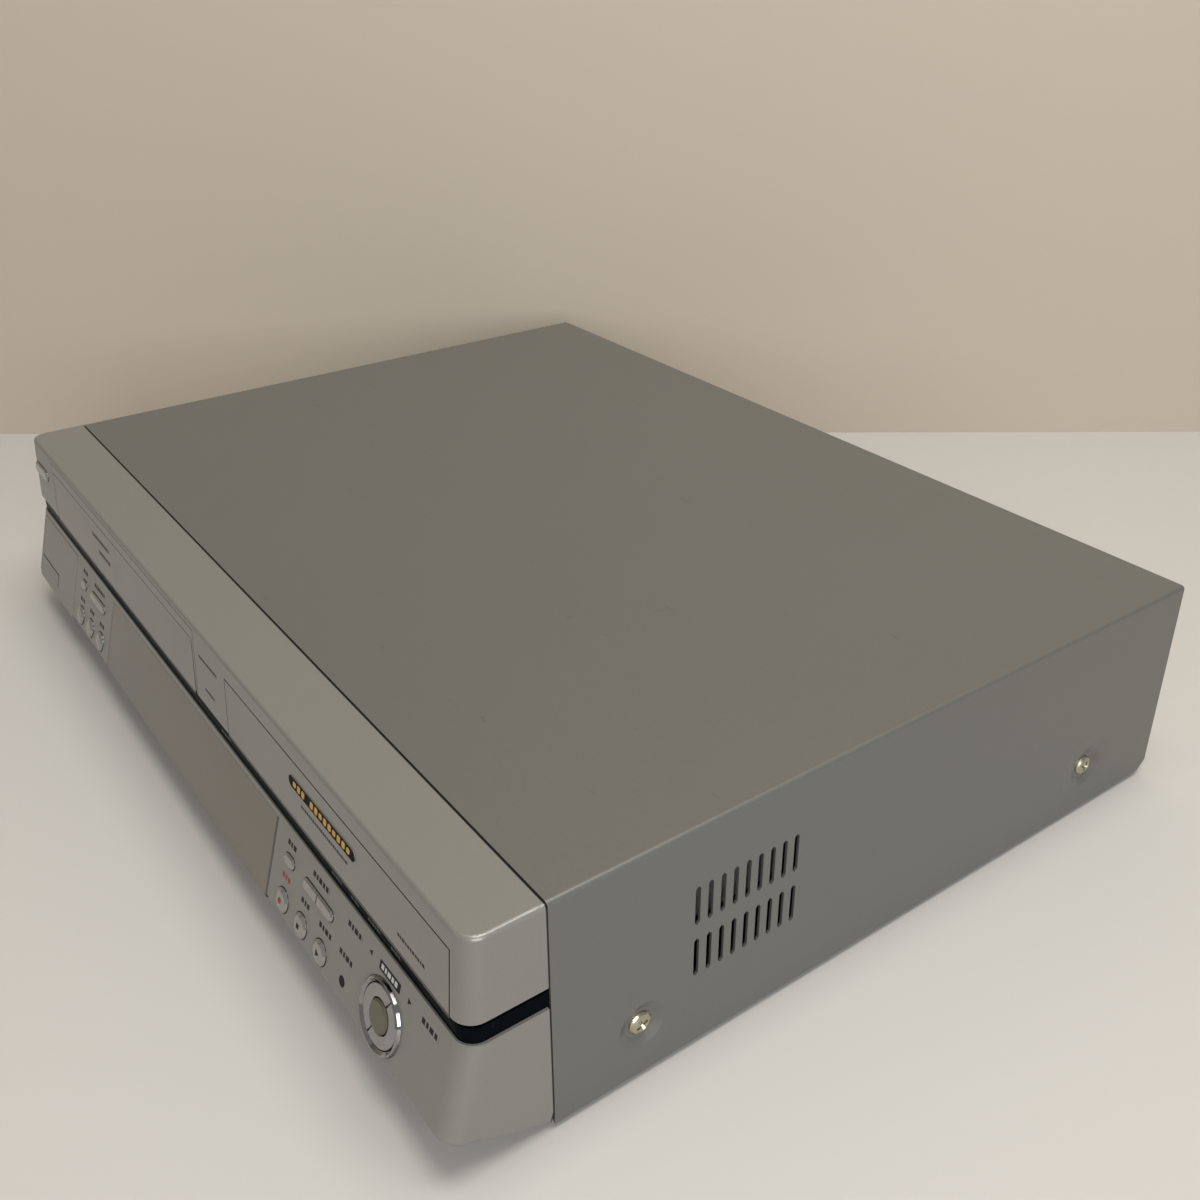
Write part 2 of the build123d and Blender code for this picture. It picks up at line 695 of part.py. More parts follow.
def lower_panel():
    shell = lower_shell() - lower_hollow()
    sill = lower_block(WALL / 2, BAND_BOTTOM - SHELF, BAND_BOTTOM) - band_block(
        BAND_DEPTH, BAND_BOTTOM - SHELF - 1, BAND_BOTTOM + 1)
    shell += sill - box((-FRONT_HALF + BAND_DEPTH, FRONT_HALF - BAND_DEPTH), (-BAND_DEPTH, 1), (0, COVER_HEIGHT))
    shell += tongue(2 * WALL, BAND_BOTTOM, False)
    shell -= frame_cut(WINDOW_LEFT, WINDOW_RIGHT, WINDOW_LOW, WINDOW_HIGH, 0)
    shell -= frame_cut(COVER_LEFT, COVER_RIGHT, COVER_LOW, COVER_HIGH, COVER_GAP)
    for x, z, shape, radius in front_buttons():
        shell -= lower_face(x, z) * extrude(offset(shape, BUTTON_GAP), 3 * WALL, both=True)
    shell -= lower_face(LENS_X, LENS_Z) * Cylinder(LENS_RADIUS + FIT / 2, 6 * WALL)
    shell -= lower_face(DIAL_X, DIAL_Z) * Cylinder(DIAL_RING, 6 * WALL)
    hinge = cover_axis()
    shell -= Plane(origin=hinge, z_dir=(1, 0, 0)) * Cylinder(
        COVER_THICK / 2 * 0.7 + PIN_PLAY, COVER_RIGHT - COVER_LEFT + 2 * (COVER_GAP + PIN_REACH))
    return shell


def front_buttons():
    """Place and outline of every button in the lower front."""
    made = [(x, ROUND_Z, Circle(ROUND_RADIUS), ROUND_RADIUS) for x in LEFT_ROUND_X + RIGHT_ROUND_X]
    for x, width in (LEFT_PILL, LEFT_LONG, RIGHT_PILL, ROCKER):
        made.append((x, PILL_Z, SlotOverall(width, PILL_HEIGHT), PILL_HEIGHT / 2))
    return made


def display_window():
    at = lower_face((WINDOW_LEFT + WINDOW_RIGHT) / 2, (WINDOW_LOW + WINDOW_HIGH) / 2)
    width, height = WINDOW_RIGHT - WINDOW_LEFT - 2 * FIT, slope_length(WINDOW_LOW, WINDOW_HIGH) - 2 * FIT
    pane = extrude(at * Rectangle(width, height), -WINDOW_THICK)
    lip = extrude(lower_face(at.origin.X, (WINDOW_LOW + WINDOW_HIGH) / 2, WALL + FIT)
                  * Rectangle(width + 4, height - 4), -1.0)
    return pane + lip


def button(face, shape, proud, edge):
    """A cap that fills its hole and stands a little proud, with a plunger to its switch."""
    cap = extrude(shape, proud + WALL + TRAVEL + FIT)
    cap = Pos(0, 0, -WALL - TRAVEL - FIT) * cap
    cap = chamfer(cap.edges().group_by(Axis.Z)[-1], edge)
    back = -WALL - TRAVEL - FIT
    cap += Pos(0, 0, back - PLUNGER / 2) * Box(PLUNGER_SIZE, PLUNGER_SIZE, PLUNGER)
    return face * cap


def round_button(x):
    return button(lower_face(x, ROUND_Z), Circle(ROUND_RADIUS), BUTTON_PROUD, BUTTON_EDGE)


def pill_button(place):
    x, width = place
    return button(lower_face(x, PILL_Z), SlotOverall(width, PILL_HEIGHT), BUTTON_PROUD, BUTTON_EDGE)


def power_button():
    return button(upper_face(POWER_X, POWER_Z), SlotOverall(POWER_WIDTH, POWER_HEIGHT), BUTTON_PROUD, BUTTON_EDGE)


def remote_lens():
    at = lower_face(LENS_X, LENS_Z, WALL)
    lens = Pos(0, 0, WALL / 2) * Cylinder(LENS_RADIUS, WALL) + Pos(0, 0, -0.6) * Cylinder(LENS_RADIUS + 1, 1.2)
    return at * lens


def dial_ring():
    """Chrome ring round the dial, with a flange that backs on the wall."""
    inner = DIAL_RING - DIAL_RING_WIDTH
    crown = DIAL_RING_WIDTH / 2
    section = make_face(
        Polyline((DIAL_RING - FIT, 0, -WALL), (DIAL_RING - FIT, 0, 0), (DIAL_RING - 0.4, 0, 0.7 * DIAL_RING_PROUD),
                 (inner + crown, 0, DIAL_RING_PROUD), (inner, 0, 0.3 * DIAL_RING_PROUD), (inner, 0, -WALL), close=True))
    return lower_face(DIAL_X, DIAL_Z) * revolve(section, Axis.Z)


def dial_segment(turn):
    """One half of the ring of touch segments between the chrome ring and the centre button."""
    outer = DIAL_RING - DIAL_RING_WIDTH - DIAL_GAP
    inner = DIAL_CENTRE + DIAL_GAP
    half = Circle(outer) - Circle(inner) - Pos(0, -outer) * Rectangle(4 * outer, 2 * outer + DIAL_GAP)
    body = Pos(0, 0, -WALL) * extrude(half, WALL + 0.5 * DIAL_RING_PROUD)
    body = chamfer(body.edges().group_by(Axis.Z)[-1], 0.25)
    middle = (outer + inner) / 2
    body += Pos(0, middle, -WALL - PLUNGER / 2) * Box(PLUNGER_SIZE, PLUNGER_SIZE, PLUNGER)
    return lower_face(DIAL_X, DIAL_Z) * Rot(0, 0, DIAL_SPLIT + turn) * body


def dial_centre():
    cap = Pos(0, 0, -WALL) * extrude(Circle(DIAL_CENTRE), WALL + DIAL_RING_PROUD)
    cap = chamfer(cap.edges().group_by(Axis.Z)[-1], BUTTON_EDGE)
    cap += Pos(0, 0, -WALL - PLUNGER / 2) * Box(PLUNGER_SIZE, PLUNGER_SIZE, PLUNGER)
    return lower_face(DIAL_X, DIAL_Z) * cap


def cassette_flap():
    low = BAND_TOP - FLAP_DROP
    top = OPENING_TOP - FLAP_GAP
    left, right = CASSETTE_X - FLAP_HALF, CASSETTE_X + FLAP_HALF
    plate = upper_block(0, low, top) - upper_block(FLAP_THICK, low - 1, top + 1)
    plate &= box((left, right), (-REACH_BAND - 2, -REACH_TOP + 2 * FLAP_THICK), (low, top))
    axis = flap_axis()
    for side in (-1, 1):
        x = CASSETTE_X + side * FLAP_HALF
        arm = side_arm(axis, top)
        plate += Pos(x - side * FLAP_ARM / 2, 0, 0) * arm
        plate += Pos(x, axis.Y, axis.Z) * Rot(0, 90, 0) * Cylinder(PIN_RADIUS, 2 * (FLAP_GAP + PIN_REACH))
    return plate


def side_arm(axis, top):
    """The arm from the flap's back up to its pin."""
    back = -upper_reach(top) + FLAP_THICK
    wide = PIN_RADIUS + ARM_RIM
    shape = make_face(Polyline([
        (0, back - 0.8, top - 9), (0, back - 0.8, top), (0, axis.Y - wide, top + LOOSE),
        (0, axis.Y - wide, axis.Z), (0, axis.Y + wide, axis.Z), (0, axis.Y + wide / 2, top - 3),
    ], close=True))
    return extrude(shape, FLAP_ARM / 2, both=True) + Pos(0, axis.Y, axis.Z) * Rot(0, 90, 0) * Cylinder(wide, FLAP_ARM)


def tray_fascia():
    half = FASCIA_WIDTH / 2
    low, top = BAND_TOP - FLAP_DROP, OPENING_TOP - FASCIA_GAP
    plate = upper_block(0, low, top) - upper_block(FASCIA_THICK, low - 1, top + 1)
    plate &= box((FASCIA_X - half, FASCIA_X + half), (-REACH_BAND - 2, -REACH_TOP + 2 * FASCIA_THICK), (low, top))
    badge = upper_face(FASCIA_X, BADGE_Z) * extrude(SlotOverall(BADGE_WIDTH, BADGE_HEIGHT), 0.25, both=True)
    return plate + badge


def cover_axis():
    """The socket cover's hinge line, in the middle of the cover's thickness along its lower edge."""
    at = lower_face((COVER_LEFT + COVER_RIGHT) / 2, COVER_LOW, COVER_THICK / 2)
    return at.origin


def socket_cover():
    at = lower_face((COVER_LEFT + COVER_RIGHT) / 2, COVER_LOW)
    width, height = COVER_RIGHT - COVER_LEFT, slope_length(COVER_LOW, COVER_HIGH)
    plate = Pos(0, height / 2, -COVER_THICK / 2) * Box(width, height, COVER_THICK)
    barrel = Pos(0, 0, -COVER_THICK / 2) * Rot(0, 90, 0) * Cylinder(COVER_THICK / 2, width)
    pins = Pos(0, 0, -COVER_THICK / 2) * Rot(0, 90, 0) * Cylinder(
        COVER_THICK / 2 * 0.7, width + 2 * (COVER_GAP + PIN_REACH - FIT))
    return at * (plate + barrel + pins)


def front_jacks():
    """Three phono sockets and a round video socket on one block, carried by the front board's left end."""
    at = lower_face(0, SOCKET_Z, SOCKET_BASE)
    left, right = SOCKET_X[0] - 8, FRONT_BOARD_LEFT + SOCKET_PAD
    block = Pos((left + right) / 2, 0, -2) * Box(right - left, SOCKET_BLOCK, 4)
    rise = SOCKET_BASE - board_depth() - BOARD
    block += Pos(right - SOCKET_PAD / 2, 0, (rise - 1) / 2) * Box(SOCKET_PAD, SOCKET_BLOCK, rise + 1)
    for x in SOCKET_X[1:]:
        block += Pos(x, 0, SOCKET_BARREL / 2) * Cylinder(JACK_RADIUS, SOCKET_BARREL)
        block -= Pos(x, 0, SOCKET_BARREL / 2) * extrude(RegularPolygon(JACK_BORE, 8), SOCKET_BARREL)
    block += Pos(SOCKET_X[0], 0, SOCKET_BARREL / 2) * Cylinder(6, SOCKET_BARREL)
    block -= Pos(SOCKET_X[0], 0, SOCKET_BARREL) * Cylinder(4.5, SOCKET_BARREL)
    return at * block


def board_depth():
    """How deep under the lower face the front board's face lies, with room for the buttons and switches."""
    return WALL + TRAVEL + FIT + PLUNGER + TRAVEL + SWITCH_GAP + SWITCH_HEIGHT


def front_board():
    """Board behind the buttons, with a switch under each plunger and the display tube behind the window."""
    face = board_depth()
    height = slope_length(CHIN_Z, BAND_BOTTOM) - 10
    middle = (CHIN_Z + BAND_BOTTOM) / 2
    at = lower_face((FRONT_BOARD_LEFT + FRONT_BOARD_RIGHT) / 2, middle, face)
    board = at * Pos(0, 0, -BOARD / 2) * Box(FRONT_BOARD_RIGHT - FRONT_BOARD_LEFT, height, BOARD)
    for x, z, shape, radius in front_buttons():
        if x != ROCKER[0]:
            board += lower_face(x, z, face) * Pos(0, 0, SWITCH_HEIGHT / 2) * Box(6, 6, SWITCH_HEIGHT)
    width = WINDOW_RIGHT - WINDOW_LEFT - 2 * DISPLAY_MARGIN
    tube = lower_face((WINDOW_LEFT + WINDOW_RIGHT) / 2, middle, face)
    return board + tube * Pos(0, 0, DISPLAY_DEPTH / 2) * Box(width, DISPLAY_HEIGHT, DISPLAY_DEPTH)


# ---- Cassette mechanism ----


def reel_places():
    return [(CASSETTE_X + side * REEL_SPACING / 2, REEL_Y) for side in (-1, 1)]


def guide_places():
    return [(CASSETTE_X + side * GUIDE_X, GUIDE_Y) for side in (-1, 1)]


def capstan_place():
    return CASSETTE_X + CAPSTAN_X, CAPSTAN_Y


def roller_contact():
    """Centre of the pinch roller when it is swung up to the capstan."""
    x, y = capstan_place()
    gap = CAPSTAN_RADIUS + ROLLER_RADIUS + LOOSE
    return Vector(x + gap * cos(radians(40)), y + gap * sin(radians(40)), 0)


def arm_pivot():
    contact = roller_contact()
    return contact + Vector(ARM_LENGTH * cos(radians(-20)), ARM_LENGTH * sin(radians(-20)), 0)


def roller_rest():
    """Centre of the pinch roller with the arm swung back."""
    pivot = arm_pivot()
    return pivot + (roller_contact() - pivot).rotate(Axis.Z, -ARM_SWING)


def deck_chassis():
    left, right = CASSETTE_X - DECK_HALF, CASSETTE_X + DECK_HALF
    deck = box((left, right), (DECK_FRONT, DECK_BACK), (DECK_Z, DECK_TOP))
    for side in (-1, 1):
        outer = CASSETTE_X + side * DECK_HALF
        wall = box((outer, outer - side * DECK_SHEET), (DECK_FRONT, DECK_SIDE_BACK), (DECK_Z, DECK_SIDE_TOP))
        for y in BASKET_PIN_Y:
            high = pin_height() + BASKET_PIN + FIT
            low = pin_height() - BASKET_LIFT - BASKET_PIN - FIT
            half = BASKET_PIN + FIT
            wall -= box((outer + side, outer - side * 3), (y - half, y + half), (low, high))
        deck += wall
    for x, y in guide_places():
        half = GUIDE_SLOT / 2
        deck -= box((x - half, x + half), (y - half - 1, y + GUIDE_TRAVEL + half + 1), (DECK_Z - 1, DECK_TOP + 1))
    x, y = capstan_place()
    deck -= rod(x, y, DECK_Z - 1, DECK_TOP + 1, CAPSTAN_SLEEVE + FIT)
    pivot = arm_pivot()
    deck += rod(pivot.X, pivot.Y, DECK_Z + 0.2, ARM_BEARING + ARM_THICK + 1, ARM_POST)
    deck += column(pivot.X, pivot.Y, DECK_Z + 0.2, ARM_BEARING - LOOSE, 3 * ARM_POST)
    gear_x, gear_y = CASSETTE_X + LOADER_X, LOADER_Y
    deck += rod(gear_x, gear_y, DECK_Z + 0.2, LOADER_LOW + LOADER_HEIGHT + 1, LOADER_POST)
    deck += column(gear_x, gear_y, DECK_Z + 0.2, LOADER_LOW - LOOSE, 3 * LOADER_POST)
    for x, y in reel_places():
        deck += rod(x, y, DECK_Z + 0.2, REEL_SPINDLE_TOP - 4, 2)
    return deck


def lower_drum_frame():
    """Foot of the drum, tipped backwards by the drum's tilt."""
    tilt = radians(DRUM_TILT)
    return Plane(origin=(CASSETTE_X, DRUM_Y, DECK_TOP + DRUM_FOOT), x_dir=(1, 0, 0), z_dir=(0, sin(tilt), cos(tilt)))


def lower_drum():
    at = lower_drum_frame()
    drum = at * Pos(0, 0, LOWER_DRUM / 2) * Cylinder(DRUM_RADIUS, LOWER_DRUM)
    lead = Circle(DRUM_RADIUS + 1) - Circle(DRUM_RADIUS - DRUM_LEAD)
    ledge = extrude(at * Pos(0, 0, LOWER_DRUM) * lead, -DRUM_LEAD * 4)
    slant = at * Pos(0, 0, LOWER_DRUM) * Rot(0, 5, 0) * Box(4 * DRUM_RADIUS, 4 * DRUM_RADIUS, 6)
    drum -= ledge & slant
    drum += column(CASSETTE_X, DRUM_Y, DECK_TOP, DECK_TOP + DRUM_FOOT + 4, DRUM_RADIUS)
    bore = at * Pos(0, 0, LOWER_DRUM) * Cylinder(DRUM_SHAFT + SHAFT_PLAY, 2 * LOWER_DRUM - 8)
    return drum - bore


def upper_drum():
    at = lower_drum_frame()
    low = LOWER_DRUM + DRUM_GAP
    drum = Pos(0, 0, low + UPPER_DRUM / 2) * Cylinder(DRUM_RADIUS, UPPER_DRUM)
    drum = chamfer(drum.edges().group_by(Axis.Z)[-1], 0.8)
    for turn in (0, 180):
        drum -= Rot(0, 0, turn) * Pos(DRUM_RADIUS, 0, low) * Box(3, 4, 5)
    shaft = LOWER_DRUM - 4
    drum += Pos(0, 0, low - (shaft - 4) / 2) * Cylinder(DRUM_SHAFT, shaft - 4)
    return at * drum


def capstan_motor():
    x, y = capstan_place()
    sleeve = rod(x, y, DECK_Z - LOOSE, CAPSTAN_SLEEVE_TOP, CAPSTAN_SLEEVE) + rod(x, y, DECK_TOP, DECK_TOP + 2, CAPSTAN_FLANGE)
    stator = Pos(x, y, DECK_Z - STATOR_HEIGHT) * extrude(RegularPolygon(FLYWHEEL_RADIUS - 6, 8), STATOR_HEIGHT)
    return sleeve + stator - rod(x, y, 0, COVER_HEIGHT, CAPSTAN_RADIUS + SHAFT_PLAY)


def capstan():
    x, y = capstan_place()
    top = DECK_Z - STATOR_HEIGHT - LOOSE
    wheel = rod(x, y, top - FLYWHEEL_HEIGHT, top, FLYWHEEL_RADIUS)
    return wheel + rod(x, y, top - FLYWHEEL_HEIGHT, CAPSTAN_TOP, CAPSTAN_RADIUS)


def pinch_arm():
    pivot, rest = arm_pivot(), roller_rest()
    way = rest - pivot
    turn = degrees(atan2(way.Y, way.X))
    arm = SlotCenterToCenter(ARM_LENGTH, 12)
    arm = Pos(pivot.X, pivot.Y, ARM_BEARING - 6) * Rot(0, 0, turn) * Pos(ARM_LENGTH / 2, 0, 0) * extrude(arm, ARM_THICK)
    hub = rod(pivot.X, pivot.Y, ARM_BEARING - LOOSE + FIT, ARM_BEARING + ARM_THICK, 6)
    arm = Pos(0, 0, 6) * arm
    body = arm + hub - rod(pivot.X, pivot.Y, 0, COVER_HEIGHT, ARM_POST + SHAFT_PLAY)
    return body + rod(rest.X, rest.Y, ARM_BEARING + 1, ROLLER_HIGH + 6, 1.5)


def pinch_roller():
    rest = roller_rest()
    low = ARM_BEARING + ARM_THICK + LOOSE
    rubber = rod(rest.X, rest.Y, low, low + ROLLER_HIGH - ROLLER_LOW, ROLLER_RADIUS)
    return rubber - rod(rest.X, rest.Y, 0, COVER_HEIGHT, 1.5 + SHAFT_PLAY)


def reel(place):
    x, y = place
    table = rod(x, y, DECK_TOP + LOOSE, DECK_TOP + REEL_HEIGHT, REEL_RADIUS)
    post = rod(x, y, DECK_TOP + REEL_HEIGHT - 1, REEL_SPINDLE_TOP, REEL_SPINDLE)
    post = chamfer(post.edges().group_by(Axis.Z)[-1], 2.0)
    for k in range(3):
        fin = box((0, REEL_SPINDLE + REEL_FIN), (-0.8, 0.8), (DECK_TOP + REEL_HEIGHT - 1, REEL_SPINDLE_TOP - 4))
        post += Pos(x, y, 0) * Rot(0, 0, 120 * k) * fin
    return table + post - rod(x, y, 0, REEL_SPINDLE_TOP - 3.5, 2 + SHAFT_PLAY)


def tape_guide(place):
    x, y = place
    low = DECK_TOP + LOOSE
    half = GUIDE_BASE / 2
    base = box((x - half, x + half), (y - half, y + half), (low, low + GUIDE_BASE_HEIGHT))
    base = chamfer(base.edges().filter_by(Axis.Z), 2)
    base += rod(x, y, DECK_Z - 1.5, low + 1, GUIDE_SLOT / 2 - FIT)
    base += rod(x, y, low, GUIDE_TOP, GUIDE_ROLLER - 1.4)
    base += rod(x, y, low + GUIDE_BASE_HEIGHT + 4, GUIDE_TOP - 5, GUIDE_ROLLER)
    return base + rod(x, y, GUIDE_TOP - 3.5, GUIDE_TOP, GUIDE_ROLLER + 0.8)


def toothed_disc(teeth, module, height, play):
    """Spur gear blank with straight-flanked teeth, centred on the origin, first tooth along x."""
    pitch = teeth * module / 2
    half = (pi * module / 2 - play) / 2
    root, tip = pitch - 1.2 * module, pitch + 0.85 * module
    corners = []
    for k in range(teeth):
        turn = 2 * pi * k / teeth
        for radius, side in ((root, -0.8 * module), (pitch, -half), (tip, -0.3 * module),
                             (tip, 0.3 * module), (pitch, half), (root, 0.8 * module)):
            corners.append((radius * cos(turn) - side * sin(turn), radius * sin(turn) + side * cos(turn)))
    return extrude(make_face(Polyline(corners, close=True)), height)


def loading_gear():
    x, y = CASSETTE_X + LOADER_X, LOADER_Y
    module = 2 * LOADER_RADIUS / LOADER_TEETH
    wheel = Pos(x, y, LOADER_LOW) * toothed_disc(LOADER_TEETH, module, LOADER_HEIGHT, TOOTH_PLAY)
    return wheel - rod(x, y, 0, COVER_HEIGHT, LOADER_POST + SHAFT_PLAY)


def loading_motor():
    """Motor can and the closed worm box beside the loading gear."""
    x, y = CASSETTE_X + LOADER_X, LOADER_Y + LOADER_RADIUS + 1 + LOOSE
    low = DECK_TOP
    box_body = box((x - 8, x + 12), (y, y + MOTOR_BOX), (low, LOADER_LOW + LOADER_HEIGHT + 2))
    can = Pos(x + 12 + MOTOR_LENGTH / 2, y + MOTOR_RADIUS, low + MOTOR_RADIUS) * Rot(0, 90, 0) * Cylinder(
        MOTOR_RADIUS, MOTOR_LENGTH)
    return box_body + can


def pin_height():
    return BASKET_LOW + 8


def cassette_basket():
    left, right = CASSETTE_X - BASKET_HALF, CASSETTE_X + BASKET_HALF
    top = COVER_HEIGHT - SHEET - 4.0
    basket = box((left, right), (BASKET_FRONT, BASKET_BACK), (BASKET_LOW, OPENING_BOTTOM))
    for x, y in reel_places():
        basket -= rod(x, y, BASKET_LOW - 1, OPENING_BOTTOM + 1, REEL_HOLE)
    for side in (-1, 1):
        outer = CASSETTE_X + side * BASKET_HALF
        basket += box((outer, outer - side * BASKET_SHEET), (BASKET_FRONT, BASKET_BACK), (BASKET_LOW, top))
        for y in BASKET_PIN_Y:
            reach = LOOSE + DECK_SHEET + 0.4
            pin = Pos(outer + side * (reach / 2 - 0.3), y, pin_height()) * Rot(0, 90, 0)
            basket += pin * Cylinder(BASKET_PIN, reach + 0.6)
    for y in BASKET_BAR_Y:
        basket += box((left, right), (y, y + BASKET_BAR), (top - BASKET_SHEET, top))
    return basket


# ---- Disc drive ----


def drive_housing():
    left, right = FASCIA_X - DRIVE_WIDTH / 2, FASCIA_X + DRIVE_WIDTH / 2
    shell = box((left, right), (DRIVE_FRONT, DRIVE_BACK), (DRIVE_LOW, DRIVE_TOP))
    shell -= box((left + DRIVE_SHEET, right - DRIVE_SHEET), (DRIVE_FRONT - 1, DRIVE_BACK - DRIVE_SHEET),
                 (DRIVE_LOW + DRIVE_SHEET, DRIVE_TOP - DRIVE_SHEET))
    rail_top = TRAY_LOW - RAIL_GAP
    for side in (-1, 1):
        outer = FASCIA_X + side * (DRIVE_WIDTH / 2 - DRIVE_SHEET / 2)
        reach = RAIL_WIDTH + DRIVE_SHEET / 2
        shell += box((outer, outer - side * reach), (DRIVE_FRONT, DRIVE_BACK - DRIVE_SHEET / 2),
                     (rail_top - RAIL_HEIGHT, rail_top))
        for y in (DRIVE_FRONT, DRIVE_BACK - DRIVE_LEG):
            wall = FASCIA_X + side * DRIVE_WIDTH / 2
            shell += box((wall, wall - side * DRIVE_SHEET), (y, y + DRIVE_LEG), (PAN_TOP, DRIVE_LOW + 1))
            shell += box((wall, wall - side * DRIVE_LEG), (y, y + DRIVE_LEG), (PAN_TOP, PAN_TOP + DRIVE_SHEET))
    shell -= rod(FASCIA_X, TABLE_Y, TRAY_HIGH, DRIVE_TOP + 1, CLAMP_HOLE)
    half = TRAVERSE_WIDTH / 2
    for side in (-1, 1):
        ear = FASCIA_X + side * (half + LOOSE)
        shell += box((ear, ear + side * 4), (TRAVERSE_AXIS_Y - 3, TRAVERSE_AXIS_Y + 3),
                     (DRIVE_LOW + DRIVE_SHEET / 2, TRAVERSE_Z + 4))
    shell -= Pos(FASCIA_X, TRAVERSE_AXIS_Y, traverse_height()) * Rot(0, 90, 0) * Cylinder(
        PIN_RADIUS + PIN_PLAY, TRAVERSE_WIDTH + 2 * LOOSE + 6)
    return shell


def traverse_height():
    return TRAVERSE_Z + TRAVERSE_THICK / 2


def disc_tray():
    half = TRAY_WIDTH / 2
    front = -upper_reach(TRAY_HIGH) + FASCIA_THICK + 0.1
    tray = box((FASCIA_X - half, FASCIA_X + half), (front, TRAY_BACK), (TRAY_LOW, TRAY_HIGH))
    tray = chamfer(tray.edges().filter_by(Axis.Z).group_by(Axis.Y)[-1], 6)
    tray -= rod(FASCIA_X, DISC_Y, TRAY_HIGH - RECESS_DEPTH, TRAY_HIGH + 1, DISC_RECESS)
    tray -= rod(FASCIA_X, DISC_Y, TRAY_HIGH - SMALL_DEPTH, TRAY_HIGH, SMALL_RECESS)
    tray -= rod(FASCIA_X, DISC_Y, TRAY_LOW - 1, TRAY_HIGH, TRAY_SLOT / 2)
    slot = TRAY_SLOT / 2
    return tray - box((FASCIA_X - slot, FASCIA_X + slot), (DISC_Y, TRAY_BACK + 1), (TRAY_LOW - 1, TRAY_HIGH + 1))


def traverse_chassis():
    """Tilting plate that carries the spindle and the pickup, with the pickup's two rods."""
    half, hole = TRAVERSE_WIDTH / 2, TRAVERSE_HOLE / 2
    low, high = TRAVERSE_Z, TRAVERSE_Z + TRAVERSE_THICK
    plate = box((FASCIA_X - half, FASCIA_X + half), (TRAVERSE_FRONT, TRAVERSE_BACK), (low, high))
    plate -= box((FASCIA_X - hole, FASCIA_X + hole), (ROD_FRONT + 4, ROD_BACK - 4), (low - 1, high + 1))
    for side in (-1, 1):
        for y in (ROD_FRONT, ROD_BACK):
            x = FASCIA_X + side * ROD_X
            plate += box((x - ROD_EAR, x + ROD_EAR), (y - 1.5, y + 1.5), (high - 1, ROD_Z + ROD_RADIUS + 1))
        shaft = Pos(FASCIA_X + side * ROD_X, (ROD_FRONT + ROD_BACK) / 2, ROD_Z) * Rot(90, 0, 0)
        plate += shaft * Cylinder(ROD_RADIUS, ROD_BACK - ROD_FRONT)
        arm = FASCIA_X + side * half
        plate += box((arm, arm - side * 8), (TRAVERSE_BACK - 1, TRAVERSE_AXIS_Y), (low, high))
    pivot = Pos(FASCIA_X, TRAVERSE_AXIS_Y, traverse_height()) * Rot(0, 90, 0)
    knuckle = Cylinder(TRAVERSE_THICK / 2 + 0.6, TRAVERSE_WIDTH) - Cylinder(TRAVERSE_THICK, TRAVERSE_WIDTH - 16)
    plate += pivot * (knuckle + Pos(0, 0, half) * Cylinder(PIN_RADIUS, 5) + Pos(0, 0, -half) * Cylinder(PIN_RADIUS, 5))
    gear_x = pinion_place()[0]
    return plate + rod(gear_x, PINION_Y, high - 1, pinion_low() + PINION_HEIGHT + 0.6, PINION_POST)


def pinion_place():
    pitch = PINION_TEETH * RACK_MODULE / 2
    return FASCIA_X - rack_line() - pitch, PINION_Y


def rack_line():
    """Distance of the rack's pitch line from the drive's middle."""
    return SLED_WIDTH / 2 + 1.6


def pinion_low():
    return TRAVERSE_Z + TRAVERSE_THICK + LOOSE


def spindle_motor():
    low = TRAVERSE_Z + TRAVERSE_THICK
    can = rod(FASCIA_X, TABLE_Y, low, SPINDLE_TOP, SPINDLE_RADIUS)
    return can - rod(FASCIA_X, TABLE_Y, low + 2, COVER_HEIGHT, SPINDLE_SHAFT + SHAFT_PLAY)


def turntable():
    plate = rod(FASCIA_X, TABLE_Y, TABLE_LOW, TABLE_TOP, TABLE_RADIUS)
    hub = rod(FASCIA_X, TABLE_Y, SPINDLE_TOP + LOOSE, HUB_TOP, HUB_RADIUS)
    return plate + hub + rod(FASCIA_X, TABLE_Y, TRAVERSE_Z + TRAVERSE_THICK + 2.5, TABLE_TOP, SPINDLE_SHAFT)


def pickup_sled():
    """Optical pickup on its rods, with the objective on top and a rack along its left side."""
    low, high = SLED_LOW, SLED_LOW + SLED_HEIGHT
    half = SLED_WIDTH / 2
    front, back = SLED_START - SLED_DEPTH / 2, SLED_START + SLED_DEPTH / 2
    sled = box((FASCIA_X - half, FASCIA_X + half), (front, back), (low, high))
    sled = chamfer(sled.edges().filter_by(Axis.Z), 3)
    for side in (-1, 1):
        at = Pos(FASCIA_X + side * ROD_X, SLED_START, ROD_Z) * Rot(90, 0, 0)
        sled -= at * Cylinder(ROD_RADIUS + SLED_PLAY, 2 * SLED_DEPTH)
    sled += rod(FASCIA_X, SLED_START - 2, high - 1, high + 2.4, LENS_BARREL + 1.5)
    sled -= rod(FASCIA_X, SLED_START - 2, high + 1.6, high + 4, LENS_BARREL)
    return sled + rack()


